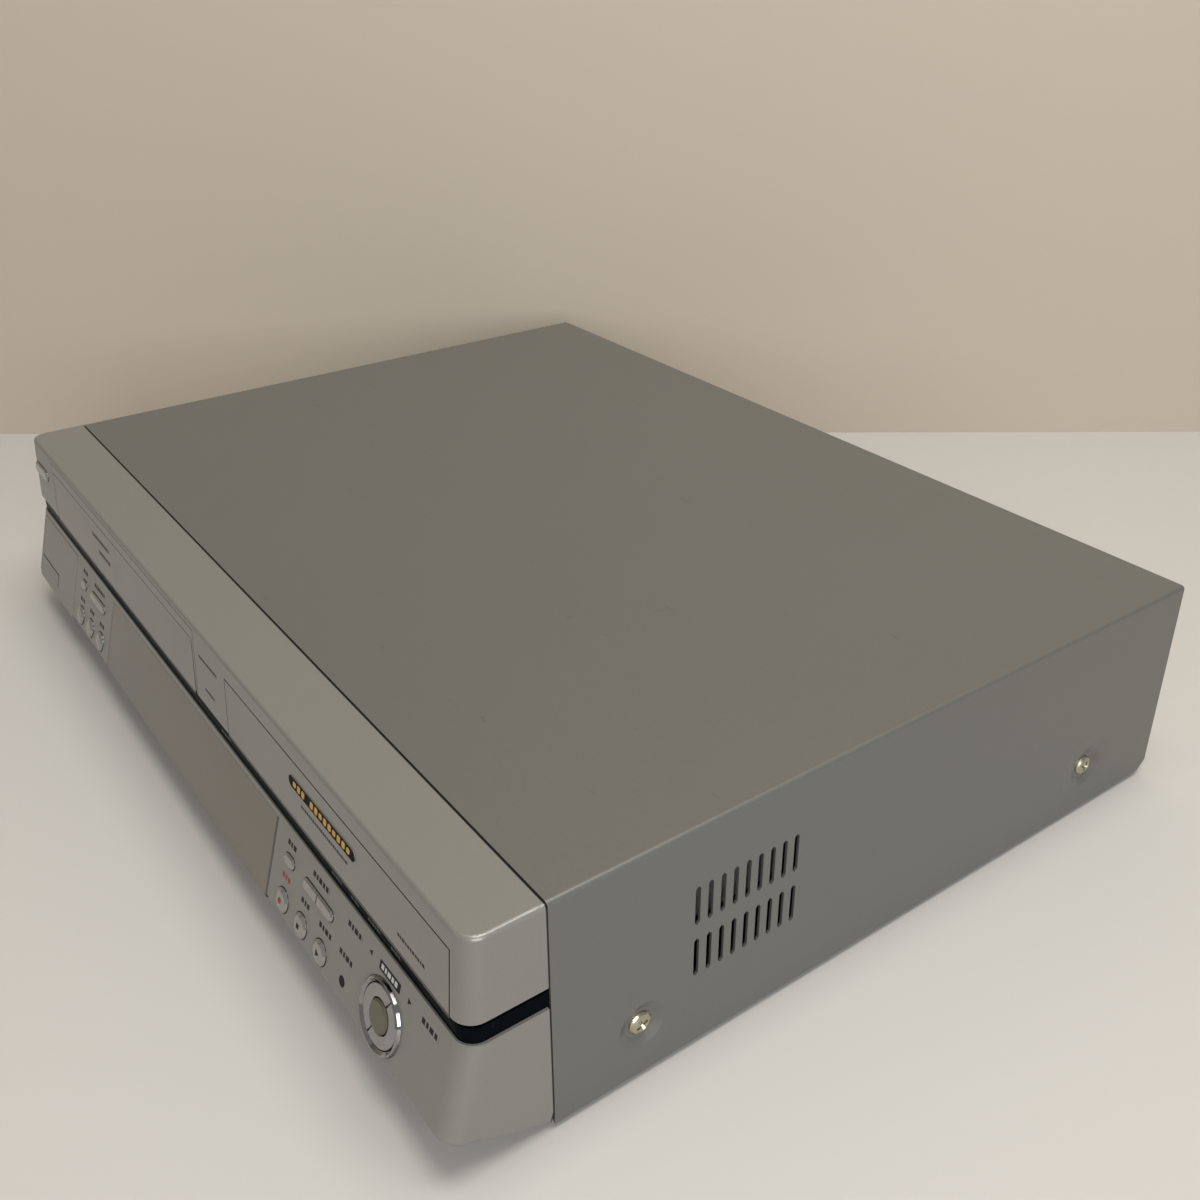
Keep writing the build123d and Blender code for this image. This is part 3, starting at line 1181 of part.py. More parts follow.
def rack():
    """Toothed bar: teeth face away from the sled, spaced so that a gap meets the gear's tooth at rest."""
    pitch = pi * RACK_MODULE
    half = (pitch / 2 - TOOTH_PLAY) / 2
    line = FASCIA_X - rack_line()
    root, tip = line + 1.2 * RACK_MODULE, line - 0.85 * RACK_MODULE
    first = PINION_Y - (RACK_TEETH + 0.5 - RACK_SPARE) * pitch
    count = RACK_TEETH + RACK_SPARE
    back = FASCIA_X - SLED_WIDTH / 2 + 1
    points = [(back, first - pitch / 2)]
    for k in range(count):
        y = first + k * pitch
        points += [(root, y - half - 0.42), (tip, y - half + 0.3), (tip, y + half - 0.3), (root, y + half + 0.42)]
    points += [(back, first + (count - 0.5) * pitch)]
    bar = make_face(Polyline([Vector(*p) for p in points], close=True))
    return extrude(Pos(0, 0, SLED_LOW) * bar, PINION_HEIGHT - 0.6)


def sled_gear():
    x, y = pinion_place()
    wheel = Pos(x, y, pinion_low()) * toothed_disc(PINION_TEETH, RACK_MODULE, PINION_HEIGHT, TOOTH_PLAY)
    return wheel - rod(x, y, 0, COVER_HEIGHT, PINION_POST + SHAFT_PLAY)


def disc_clamper():
    """Spool that hangs in the drive's lid and presses a disc on the turntable."""
    top = DRIVE_TOP + LOOSE
    spool = rod(FASCIA_X, TABLE_Y, CLAMP_LOW, CLAMP_LOW + CLAMP_THICK, CLAMP_RADIUS)
    spool += rod(FASCIA_X, TABLE_Y, CLAMP_LOW, top + 1, CLAMP_HOLE - LOOSE)
    spool += rod(FASCIA_X, TABLE_Y, top, top + 1.6, CLAMP_FLANGE)
    return spool - column(FASCIA_X, TABLE_Y, CLAMP_LOW + CLAMP_THICK, DRIVE_TOP + 4, CLAMP_HOLE)


# ---- Boards, power and the back ----


def board_plate(limits):
    low = PAN_TOP + STANDOFF
    return box(limits, (BOARD_FRONT, BOARD_BACK), (low, low + BOARD))


def board_top():
    return PAN_TOP + STANDOFF + BOARD


def main_board():
    board = board_plate(MAIN_BOARD)
    top = board_top()
    for x, y, size in ((20, 225, CHIP + 8), (70, 232, CHIP), (115, 222, CHIP), (160, 230, CHIP + 4)):
        board += box((x - size / 2, x + size / 2), (y - size / 2, y + size / 2), (top - 0.2, top + 2))
    for x in (0, 14, 28):
        board += rod(x, BOARD_FRONT + 8, top - 0.2, top + 11, 4)
    return board


def power_board():
    return board_plate(POWER_BOARD)


def transformer():
    """Iron core with its bobbin and windings."""
    x, y = TRANSFORMER_AT
    width, depth, height = TRANSFORMER
    low = board_top()
    core = box((x - width / 2, x + width / 2), (y - depth / 4, y + depth / 4), (low, low + height))
    core = chamfer(core.edges().filter_by(Axis.Y), 2)
    wound = box((x - width / 4, x + width / 4), (y - depth / 2, y + depth / 2), (low, low + height - 5))
    return core + chamfer(wound.edges().filter_by(Axis.Z), 5)


def power_parts():
    """The transformer, the filter capacitors and the finned heat sink that stand on the power board."""
    low = board_top()
    made = [transformer()]
    for x, y, scale in ((-190, 262, 1), (-166, 262, 1), (-84, 214, 0.7), (-84, 232, 0.7)):
        can = rod(x, y, low, low + CAPACITOR_HEIGHT * scale, CAPACITOR_RADIUS * scale)
        made.append(can)
    fins = box((-200, -158), (212, 215), (low, low + HEATSINK_HEIGHT))
    for k in range(6):
        x = -199 + k * 8
        fins += box((x, x + 1.5), (214, 226), (low, low + HEATSINK_HEIGHT))
    return made + [fins]


def ac_inlet():
    """Two-pin mains inlet: a moulded frame in the rear panel with the pins in its well."""
    half_w, half_h = INLET_WIDTH / 2, INLET_HEIGHT / 2
    body = box((INLET_X - half_w, INLET_X + half_w), (PANEL_BACK - INLET_DEPTH, PANEL_BACK + 1),
               (INLET_Z - half_h, INLET_Z + half_h))
    body += box((INLET_X - half_w - 2, INLET_X + half_w + 2), (PANEL_BACK, PANEL_BACK + 1.5),
                (INLET_Z - half_h - 2, INLET_Z + half_h + 2))
    well = Plane.XZ.offset(-PANEL_BACK - 2) * Pos(INLET_X, INLET_Z) * SlotOverall(16, 9)
    body -= extrude(well, 12)
    for side in (-1, 1):
        pin = Pos(INLET_X + side * 3.6, PANEL_BACK - 6, INLET_Z) * Rot(90, 0, 0) * Cylinder(1.2, 10)
        body += pin
    return body


def rear_jacks():
    """Phono sockets through the rear panel, on one moulded block that stands on the main board."""
    left, right = JACK_X[0] - 8, JACK_X[-1] + 8
    block = box((left, right), (BOARD_BACK - 8, PANEL_FRONT - FIT), (board_top(), JACK_Z[-1] + 9))
    block += box((JACK_X[0] - JACK_MARGIN, JACK_X[-1] + JACK_MARGIN), (BOARD_BACK, PANEL_BACK),
                 (JACK_Z[0] - JACK_MARGIN, JACK_Z[-1] + JACK_MARGIN))
    for x in JACK_X:
        for z in JACK_Z:
            at = Plane(origin=(x, PANEL_FRONT - FIT, z), x_dir=(1, 0, 0), z_dir=(0, 1, 0))
            reach = SHEET + FIT + JACK_REACH
            block += at * Pos(0, 0, reach / 2) * Cylinder(JACK_RADIUS, reach)
            block -= at * Pos(0, 0, 0.3 * reach) * extrude(RegularPolygon(JACK_BORE, 8), reach)
    return block


def tuner_block():
    """Screened tuner can with its aerial input and output sockets."""
    left, right = TUNER_X[0] - 10, TUNER_X[-1] + 10
    can = box((left, right), (PANEL_FRONT - FIT - TUNER_DEPTH, PANEL_FRONT - FIT), (board_top(), TUNER_Z + 12))
    for x in TUNER_X:
        at = Plane(origin=(x, PANEL_FRONT - FIT, TUNER_Z), x_dir=(1, 0, 0), z_dir=(0, 1, 0))
        can += at * extrude(RegularPolygon(TUNER_COLLAR, 6), SHEET + FIT)
        reach = SHEET + FIT + TUNER_REACH
        can += at * Pos(0, 0, reach / 2) * Cylinder(TUNER_RADIUS, reach)
        can -= at * extrude(RegularPolygon(TUNER_BORE, 6), 2 * reach)
    return can


def fan_frame():
    half = FAN_SIZE / 2
    back = PANEL_FRONT - FIT
    frame = box((FAN_X - half, FAN_X + half), (back - FAN_DEPTH, back), (FAN_Z - half, FAN_Z + half))
    frame = chamfer(frame.edges().filter_by(Axis.Y), 3)
    frame -= Pos(FAN_X, back - FAN_DEPTH / 2, FAN_Z) * Rot(90, 0, 0) * Cylinder(FAN_DUCT, FAN_DEPTH + 2)
    hub = Pos(FAN_X, back - 1.5, FAN_Z) * Rot(90, 0, 0) * Cylinder(FAN_HUB, 3)
    axle = Pos(FAN_X, back - 5, FAN_Z) * Rot(90, 0, 0) * Cylinder(1.5, 8)
    for turn in (45, 135, 225, 315):
        arm = Pos((FAN_HUB + FAN_DUCT) / 2, 0, 0) * Box(FAN_DUCT - FAN_HUB + 3, 3, 2)
        hub += Pos(FAN_X, back - 1, FAN_Z) * Rot(90, 0, 0) * Rot(0, 0, turn) * arm
    return frame + hub + axle


def fan_rotor():
    back = PANEL_FRONT - FIT - 3 - LOOSE
    height = FAN_DEPTH - 4.5
    at = Plane(origin=(FAN_X, back, FAN_Z), x_dir=(1, 0, 0), z_dir=(0, -1, 0))
    rotor = Pos(0, 0, height / 2) * Cylinder(FAN_HUB, height)
    blade_reach = FAN_DUCT - 1.2
    for k in range(FAN_BLADES):
        blade = Pos((FAN_HUB + blade_reach) / 2, 0, height / 2) * Rot(FAN_PITCH, 0, 0) * Box(
            blade_reach - FAN_HUB + 1, 1.2, height)
        rotor += Rot(0, 0, 360 / FAN_BLADES * k) * blade
    rotor -= Cylinder(1.5 + SHAFT_PLAY, 14)
    return at * rotor


def build():
    """Every node by its name."""
    reels = reel_places()
    guides = guide_places()
    nodes = {
        "top_cover": top_cover(),
        "base_chassis": base_chassis(),
        "rear_panel": rear_panel(),
        "feet": feet(),
        "cover_screws": cover_screws(),
        "front_bezel": front_bezel(),
        "accent_strip": accent_strip(),
        "lower_panel": lower_panel(),
        "display_window": display_window(),
        "dial_ring": dial_ring(),
        "dial_left_segment": dial_segment(0),
        "dial_right_segment": dial_segment(180),
        "dial_centre": dial_centre(),
        "cassette_flap": cassette_flap(),
        "tray_fascia": tray_fascia(),
        "socket_cover": socket_cover(),
        "remote_lens": remote_lens(),
        "power_button": power_button(),
        "left_small_button": pill_button(LEFT_PILL),
        "left_long_button": pill_button(LEFT_LONG),
        "right_small_button": pill_button(RIGHT_PILL),
        "channel_rocker": channel_rocker(),
        "record_button": round_button(RIGHT_ROUND_X[0]),
        "stop_button": round_button(RIGHT_ROUND_X[1]),
        "play_button": round_button(RIGHT_ROUND_X[2]),
        "front_jacks": front_jacks(),
        "front_board": front_board(),
        "deck_chassis": deck_chassis(),
        "lower_drum": lower_drum(),
        "upper_drum": upper_drum(),
        "capstan_motor": capstan_motor(),
        "capstan": capstan(),
        "pinch_arm": pinch_arm(),
        "pinch_roller": pinch_roller(),
        "supply_reel": reel(reels[0]),
        "takeup_reel": reel(reels[1]),
        "supply_guide": tape_guide(guides[0]),
        "takeup_guide": tape_guide(guides[1]),
        "loading_gear": loading_gear(),
        "loading_motor": loading_motor(),
        "cassette_basket": cassette_basket(),
        "drive_housing": drive_housing(),
        "disc_tray": disc_tray(),
        "traverse_chassis": traverse_chassis(),
        "spindle_motor": spindle_motor(),
        "turntable": turntable(),
        "pickup_sled": pickup_sled(),
        "sled_gear": sled_gear(),
        "disc_clamper": disc_clamper(),
        "main_board": main_board(),
        "power_board": power_board(),
        "power_parts": power_parts(),
        "ac_inlet": ac_inlet(),
        "rear_jacks": rear_jacks(),
        "tuner_block": tuner_block(),
        "fan_frame": fan_frame(),
        "fan_rotor": fan_rotor(),
    }
    for k, x in enumerate(LEFT_ROUND_X):
        nodes[f"left_round_button_{k + 1}"] = round_button(x)
    return nodes


def channel_rocker():
    """Two-ended rocker on a cross pin, split in the middle by a groove."""
    x, width = ROCKER
    cap = button(Plane.XY, SlotOverall(width, PILL_HEIGHT), BUTTON_PROUD, BUTTON_EDGE)
    cap -= Pos(0, 0, BUTTON_PROUD) * Box(0.7, 2 * PILL_HEIGHT, 0.8)
    cap += Pos(0, 0, -ROCKER_DEPTH) * Rot(90, 0, 0) * Cylinder(PIN_RADIUS, ROCKER_PIN)
    return lower_face(x, PILL_Z) * cap


def write(node, shape):
    """Moves a piece, or each of a list of separate pieces, to the origin on the floor, and writes the node."""
    pieces = shape if isinstance(shape, list) else [shape]
    moved = [Pos(0, -MID_Y, FOOT_DROP) * solid for piece in pieces for solid in piece.solids()]
    export_step(moved[0] if len(moved) == 1 else Compound(moved), f"parts/{node}.step")


os.makedirs("parts", exist_ok=True)
for name, piece in build().items():
    write(name, piece)
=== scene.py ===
"""Dresses a full-width disc and cassette recorder: finishes, printed marks, small fittings and a plain studio."""

import json
from math import hypot, pi, radians

import bmesh
import bpy
from bpy.props import FloatProperty, FloatVectorProperty, IntProperty, PointerProperty
from mathutils import Euler, Matrix, Vector


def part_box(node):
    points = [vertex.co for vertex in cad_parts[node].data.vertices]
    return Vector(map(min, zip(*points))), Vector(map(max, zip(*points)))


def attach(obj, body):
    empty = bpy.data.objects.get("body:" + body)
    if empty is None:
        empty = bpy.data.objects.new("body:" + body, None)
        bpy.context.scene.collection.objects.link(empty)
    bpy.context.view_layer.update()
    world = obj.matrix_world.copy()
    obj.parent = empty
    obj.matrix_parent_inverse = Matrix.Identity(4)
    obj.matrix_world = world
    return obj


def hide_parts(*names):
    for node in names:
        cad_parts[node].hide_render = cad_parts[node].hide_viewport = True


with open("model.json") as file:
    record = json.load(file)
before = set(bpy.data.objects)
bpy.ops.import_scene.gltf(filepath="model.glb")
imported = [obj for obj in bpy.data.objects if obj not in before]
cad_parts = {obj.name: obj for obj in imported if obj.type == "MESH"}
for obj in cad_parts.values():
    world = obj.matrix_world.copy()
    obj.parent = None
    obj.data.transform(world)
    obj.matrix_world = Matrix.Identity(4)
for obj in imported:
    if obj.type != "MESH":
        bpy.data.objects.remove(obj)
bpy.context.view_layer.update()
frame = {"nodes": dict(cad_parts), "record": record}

bl_info = {
    "name": "Disc and Cassette Recorder Dressing",
    "version": (1, 0, 0),
    "blender": (4, 5, 0),
    "location": "View3D > Sidebar > Recorder",
    "description": "Finishes, marks, fittings and studio for a full-width disc and cassette recorder",
    "category": "Object",
}

# ---- Places, in metres, taken from the frame where it shows them ----
MM = 0.001
SEAM_GAP = 0.6 * MM
SEAM_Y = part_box("top_cover")[0].y - SEAM_GAP
COVER_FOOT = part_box("top_cover")[0].z
COVER_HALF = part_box("top_cover")[1].x
COVER_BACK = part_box("top_cover")[1].y
PANEL_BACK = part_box("rear_panel")[1].y
JACK_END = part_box("rear_jacks")[1].y
AERIAL_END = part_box("tuner_block")[1].y

# Heights above the cover's lower edge and reaches ahead of the seam, for the sloping front faces.
UPPER_FACE = ((56.5 * MM, 27.4 * MM), (86.5 * MM, 25.2 * MM))
LOWER_FACE = ((15.0 * MM, 36.5 * MM), (48.5 * MM, 27.0 * MM))
BAND_FACE = ((48.5 * MM, 26.4 * MM), (54.3 * MM, 26.4 * MM))
BAND_STEP = 54.3 * MM

# Thickness of print, and widths of the painted shade lines in the joints, under the flap and tray, and at the
# window's ends.
INK = 0.04 * MM
JOINT_SHADE = 0.32 * MM
FOOT_SHADE = 1.2 * MM
WINDOW_ENDS = (-95.3 * MM, 89.5 * MM)
WINDOW_END_SHADE = 1.3 * MM

# Round buttons: how far they stand out, and their middle's height.
BUTTON_PROUD = 0.9 * MM
ROUND_HEIGHT = 22.4 * MM
ROUND_BUTTONS = ("left_round_button_1", "left_round_button_2", "left_round_button_3", "record_button", "stop_button",
                 "play_button")

# Badge on the tray's front.
BADGE_LEVEL = 71.2 * MM
BADGE_PROUD = 0.25 * MM
BADGE_BARS = 13
BADGE_GAP = 3
BAR_SLANT = 0.25

# ---- Marks on the front, in millimetres: middle, height over the cover's lower edge, length ----
LEFT_LABELS = ((-137.0, 43.4, 7.0), (-115.5, 43.4, 15.0), (-137.5, 30.0, 6.0), (-122.5, 30.0, 6.0),
               (-107.5, 30.0, 6.0))
RIGHT_LABELS = ((102.3, 43.4, 7.0), (124.9, 43.8, 12.0), (117.0, 31.0, 6.0), (132.5, 31.0, 9.0),
                (147.5, 31.5, 9.0), (150.0, 42.8, 9.5), (197.5, 42.8, 9.5))
RECORD_LABEL = ((101.5, 31.0, 6.0),)
SELECTOR_BOX = (173.0, 42.8, 13.0, 3.4)
SELECTOR_ARROWS = ((161.0, 42.8, 90.0), (185.0, 42.8, -90.0))
BAND_LABELS = ((40.0, 51.4, 9.0), (134.0, 51.4, 7.0), (147.0, 51.4, 5.0), (160.0, 51.4, 8.0), (174.0, 51.4, 6.0))
FLAP_LABELS = ((-103.0, 72.5, 24.0), (-99.0, 66.5, 16.0))
POST_LABELS = ((29.5, 76.0, 18.0), (29.5, 64.0, 9.0))
TRAY_LABELS = ((128.5, 65.2, 34.0), (186.0, 62.6, 16.0))

# Painted shadow line at the edge of the finger hold on the socket cover, in metres: right end, foot and top; the
# line's width.
FINGER_HOLD = (-178.0 * MM, 19.5 * MM, 25.8 * MM)
HOLD_SHADOW_LINE = 0.7 * MM

# ---- Sockets ----
PHONO_X = (-24.0 * MM, -10.0 * MM, 4.0 * MM)
PHONO_Z = (34.0 * MM, 54.0 * MM)
PHONO_RADIUS = 4.15 * MM
AERIAL_X = (56.0 * MM, 76.0 * MM)
AERIAL_Z = 44.0 * MM
AERIAL_RADIUS = 4.7 * MM
FRONT_PHONO_X = (-181.5 * MM, -170.5 * MM, -159.5 * MM)
FRONT_SOCKET_Z = 31.0 * MM
FRONT_SOCKET_DEPTH = 14.0 * MM
FRONT_BARREL = 8.5 * MM
SLEEVE_START = 0.1 * MM
SLEEVE_OVER = 0.12 * MM
SLEEVE_LAP = 0.9 * MM
SLEEVE_FIT = 0.01 * MM
LIP_DROP = 0.3 * MM
LIP_BEVEL = 0.25 * MM
RING_INNER = PHONO_RADIUS + 0.2 * MM
RING_OUTER = PHONO_RADIUS + 1.9 * MM
RING_HEIGHT = 1.1 * MM
THREAD_LOW = AERIAL_RADIUS + 0.02 * MM
THREAD_HIGH = AERIAL_RADIUS + 0.3 * MM
THREAD_START = 1.1 * MM

# ---- Screws ----
SIDE_SCREWS = ((33.0 * MM, 20.0 * MM), (252.0 * MM, 20.0 * MM))
LIP_SCREWS = (-150.0 * MM, 0.0, 150.0 * MM)
LIP_SCREW_DROP = 4.5 * MM
DIMPLE_SEAT = 1.45 * MM
DIMPLE_FLOOR = 5 * MM
DIMPLE_EDGE = 14 * MM

# ---- Camera, as fitted to the corners of the cover; picture 1200 by 1200 ----
PICTURE = 1200
FOCAL_PIXELS = 1264.15
PRINCIPAL_POINT = (615.25, 561.64)
SENSOR = 36.0
CLIP_START = 0.01

# ---- Studio: where the wall stands, and the lamps' name, place, aim, width and tint ----
WALL_FOOT = (-0.252, 0.303 + SEAM_Y, 0)
SHEET_HALF = 4
KEY_LAMP = ("key_lamp", (0.4, 0.05, 1.6), (0, 0, 0), 0.9, (1.0, 0.975, 0.93))
FILL_LAMP = ("fill_lamp", (1.15, -0.5, 0.5), (0.2, -0.1, 0.04), 0.7, (0.97, 0.99, 1.0))
SKY_TINT = (1.0, 0.985, 0.96, 1)


def colour(name, rgb):
    return FloatVectorProperty(name=name, description=f"{name}, linear", subtype="COLOR", size=3, min=0, max=1,
                               default=rgb)


def length(name, words, metres):
    return FloatProperty(name=name, description=words, default=metres, unit="LENGTH", subtype="DISTANCE", precision=5)


class RecorderFinish(bpy.types.PropertyGroup):
    """Colours that a user may change."""

    cover: colour("Cover paint", (0.134, 0.134, 0.122))
    moulding: colour("Front moulding", (0.225, 0.221, 0.203))
    button: colour("Buttons", (0.36, 0.355, 0.34))
    window: colour("Window tint", (0.19, 0.163, 0.128))
    champagne: colour("Dial centre", (0.125, 0.118, 0.08))
    ink: colour("Dark print", (0.012, 0.012, 0.013))
    record: colour("Record mark", (0.27, 0.042, 0.042))
    gold: colour("Badge print", (0.55, 0.33, 0.08))


class RecorderMarks(bpy.types.PropertyGroup):
    """Sizes of the printed marks and small fittings."""

    letter: length("Mark height", "Height of a row of printed marks", 1.9 * MM)
    fine: length("Fine mark height", "Height of the smallest marks", 1.2 * MM)
    symbol: length("Symbol radius", "Radius of the record, stop and play symbols", 1.25 * MM)
    badge_width: length("Badge width", "Length of the dark badge on the tray front", 48.4 * MM)
    badge_height: length("Badge height", "Height of the dark badge on the tray front", 4.3 * MM)
    dome_radius: length("Button dome radius", "Radius of the domed tops of the round buttons", 3.7 * MM)
    dome_height: length("Button dome height", "Rise of the domed tops of the round buttons", 0.45 * MM)
    screw_radius: length("Screw head radius", "Radius of the cover screws' heads", 4.2 * MM)
    screw_height: length("Screw head height", "Height of the cover screws' heads", 1.6 * MM)
    thread_pitch: length("Thread pitch", "Pitch of the aerial sockets' thread", 0.8 * MM)
    round_steps: IntProperty(name="Round steps", description="Sides of a turned piece", default=48, min=12, max=128)


class RecorderStudio(bpy.types.PropertyGroup):
    """Floor, wall, lamps and camera."""

    floor: colour("Floor", (0.53, 0.512, 0.487))
    wall: colour("Wall", (0.52, 0.458, 0.375))
    sky: FloatProperty(name="Sky", description="Strength of the even light from all round", default=0.34, min=0)
    key: FloatProperty(name="Key lamp", description="Power of the large lamp overhead", default=18.5, min=0,
                       unit="POWER")
    fill: FloatProperty(name="Fill lamp", description="Power of the lamp before the right corner", default=9.0, min=0,
                        unit="POWER")
    camera_place: FloatVectorProperty(name="Camera place", description="Where the camera stands", size=3,
                                      default=(0.43269, SEAM_Y - 0.13502, 0.32644), subtype="TRANSLATION")
    camera_turn: FloatVectorProperty(name="Camera turn", description="Camera's Euler angles", size=3,
                                     default=(radians(62.2663), radians(0.1125), radians(53.9383)),
                                     subtype="EULER")


# ---- Shader maths ----


class Wire:
    """An output in a material's nodes. Arithmetic on it adds Math nodes."""

    def __init__(self, paint, socket):
        self.paint = paint
        self.socket = socket

    def _maths(self, operation, first, second=0.0):
        node = self.paint.node("ShaderNodeMath", {"operation": operation}, {0: first, 1: second})
        return self.paint.out(node, 0)

    def __add__(self, other):
        return self._maths("ADD", self, other)

    __radd__ = __add__

    def __mul__(self, other):
        return self._maths("MULTIPLY", self, other)

    __rmul__ = __mul__

    def __sub__(self, other):
        return self._maths("SUBTRACT", self, other)

    def __rsub__(self, other):
        return self._maths("SUBTRACT", other, self)

    def __truediv__(self, other):
        return self._maths("DIVIDE", self, other)

    def __rtruediv__(self, other):
        return self._maths("DIVIDE", other, self)

    def above(self, limit):
        return self._maths("GREATER_THAN", self, limit)

    def below(self, limit):
        return self._maths("LESS_THAN", self, limit)

    def sine(self):
        return self._maths("SINE", self)

    def size(self):
        return self._maths("ABSOLUTE", self)

    def larger(self, other):
        return self._maths("MAXIMUM", self, other)


class Paint:
    """A procedural material on one Principled shader, read in object coordinates."""

    def __init__(self, name, **constants):
        self.material = bpy.data.materials.new(name)
        self.material.use_nodes = True
        self.tree = self.material.node_tree
        self.shader = self.tree.nodes["Principled BSDF"]
        for socket, value in constants.items():
            self.shader.inputs[socket.replace("_", " ")].default_value = value
        self.place = self.out(self.node("ShaderNodeTexCoord"), "Object")

    def node(self, kind, settings=None, inputs=None, stops=None):
        made = self.tree.nodes.new(kind)
        for key, value in (settings or {}).items():
            setattr(made, key, value)
        if stops:
            made.color_ramp.elements[0].position, made.color_ramp.elements[0].color = stops[0]
            made.color_ramp.elements[1].position, made.color_ramp.elements[1].color = stops[-1]
            for position, rgba in stops[1:-1]:
                made.color_ramp.elements.new(position).color = rgba
        for key, value in (inputs or {}).items():
            if isinstance(value, Wire):
                self.tree.links.new(value.socket, made.inputs[key])
            else:
                made.inputs[key].default_value = value
        return made

    def out(self, node, name):
        return Wire(self, node.outputs[name])

    def feed(self, socket, wire):
        self.tree.links.new(wire.socket, self.shader.inputs[socket])

    def stretched(self, along):
        mapping = self.node("ShaderNodeMapping", None, {"Vector": self.place, "Scale": along})
        return self.out(mapping, "Vector")

    def noise(self, scale, detail=2.0, along=(1, 1, 1), rough=0.5):
        node = self.node("ShaderNodeTexNoise", None, {
            "Vector": self.stretched(along), "Scale": scale, "Detail": detail, "Roughness": rough})
        return self.out(node, 0)

    def cells(self, scale, along=(1, 1, 1)):
        node = self.node("ShaderNodeTexVoronoi", None, {"Vector": self.stretched(along), "Scale": scale})
        return self.out(node, "Distance")

    def axis(self, letter):
        return self.out(self.node("ShaderNodeSeparateXYZ", None, {0: self.place}), letter)

    def rescale(self, wire, low, high, to_low=0.0, to_high=1.0):
        node = self.node("ShaderNodeMapRange", {"clamp": True}, {
            "Value": wire, "From Min": low, "From Max": high, "To Min": to_low, "To Max": to_high})
        return self.out(node, 0)

    def blend(self, factor, first, second):
        inputs = {0: factor, 6: rgba(first), 7: rgba(second)}
        return self.out(self.node("ShaderNodeMix", {"data_type": "RGBA"}, inputs), 2)

    def bump(self, height, depth, strength=1.0):
        node = self.node("ShaderNodeBump", None, {"Strength": strength, "Distance": depth, "Height": height})
        self.feed("Normal", self.out(node, "Normal"))


def rgba(value):
    """A colour with its alpha, or the wire as it is."""
    return value if isinstance(value, Wire) else (*value, 1.0)


def scaled(rgb, by):
    return tuple(min(channel * by, 1.0) for channel in rgb)


def beyond(paint, node):
    """How far a point lies outside the node's outline as seen from the front, less than 0 inside it."""
    low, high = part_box(node)
    reach = [(paint.axis(letter) - (getattr(low, side) + getattr(high, side)) / 2).size()
             - (getattr(high, side) - getattr(low, side)) / 2 for letter, side in (("X", "x"), ("Z", "z"))]
    return reach[0].larger(reach[1])


# ---- Finishes ----


def cover_paint(look):
    """Baked metallic paint on sheet steel: fine flake, faint mottling, a few rubbed specks."""
    paint = Paint("cover_paint", Metallic=0.35, Coat_Weight=0.3, Coat_Roughness=0.16)
    base = look.cover
    flake = paint.noise(2600, 2)
    mottle = paint.noise(9, 3)
    body = paint.blend(paint.rescale(flake, 0.35, 0.68), scaled(base, 0.93), scaled(base, 1.08))
    body = paint.blend(paint.rescale(mottle, 0.3, 0.7, 0, 0.35), body, scaled(base, 0.94))
    rub = paint.rescale(paint.noise(160, 4, (1, 0.35, 1), 0.7), 0.71, 0.76)
    scratch = paint.rescale(paint.noise(420, 2, (0.12, 1, 1)), 0.745, 0.76)
    worn = paint.rescale(rub + scratch * 0.8, 0, 1, 0, 0.55)
    paint.feed("Base Color", paint.blend(worn, body, scaled(base, 0.62)))
    paint.feed("Roughness", paint.rescale(flake, 0.3, 0.7, 0.42, 0.50) - mottle * 0.04)
    pressed = 0.0
    for y, z in SIDE_SCREWS:
        along, up = paint.axis("Y") - (SEAM_Y + y), paint.axis("Z") - (COVER_FOOT + z)
        pressed = paint.rescale(along * along + up * up, DIMPLE_FLOOR ** 2, DIMPLE_EDGE ** 2) + pressed
    paint.bump(pressed + (flake + paint.noise(700, 1) * 0.6) * 0.012, 0.9 * MM, 0.8)
    return paint.material


def silver_moulding(look):
    """Metallic lacquer on moulded plastic, smoother than the cover, with very fine flake; painted shade in the seam
    and round and under the flap and tray.
    """
    paint = Paint("silver_moulding", Metallic=0.35, Coat_Weight=0.3, Coat_Roughness=0.07, Specular_IOR_Level=0.2)
    base = look.moulding
    flake = paint.noise(5200, 2)
    cloud = paint.noise(14, 2)
    body = paint.blend(paint.rescale(flake, 0.34, 0.7), scaled(base, 0.93), scaled(base, 1.08))
    body = paint.blend(paint.rescale(cloud, 0.35, 0.7, 0, 0.25), body, scaled(base, 0.93))
    # Painted shade: dark lines along the seam to the cover and round the tray and flap, and a painted shadow over the
    # lowest FOOT_SHADE of their fronts.
    painted_gap_shade = paint.axis("Y").above(SEAM_Y - JOINT_SHADE)
    for node in ("tray_fascia", "cassette_flap"):
        outside = beyond(paint, node)
        foot = paint.axis("Z").below(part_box(node)[0].z + FOOT_SHADE) * outside.below(0)
        painted_gap_shade = outside.size().below(JOINT_SHADE) + foot + painted_gap_shade
    paint.feed("Base Color", paint.blend(painted_gap_shade, body, scaled(base, 0.06)))
    paint.feed("Roughness", paint.rescale(cloud, 0.3, 0.7, 0.31, 0.37) + flake * 0.04)
    paint.bump(flake, 0.008 * MM, 0.5)
    return paint.material


def silver_button(look):
    """Bright plating with faint brushing along the cabinet."""
    paint = Paint("silver_button", Metallic=0.85)
    brush = paint.noise(900, 2, (0.15, 1, 1))
    paint.feed("Base Color", paint.blend(brush, scaled(look.button, 0.9), scaled(look.button, 1.12)))
    paint.feed("Roughness", paint.rescale(brush, 0.3, 0.7, 0.08, 0.13))
    paint.bump(brush, 0.006 * MM, 0.4)
    return paint.material


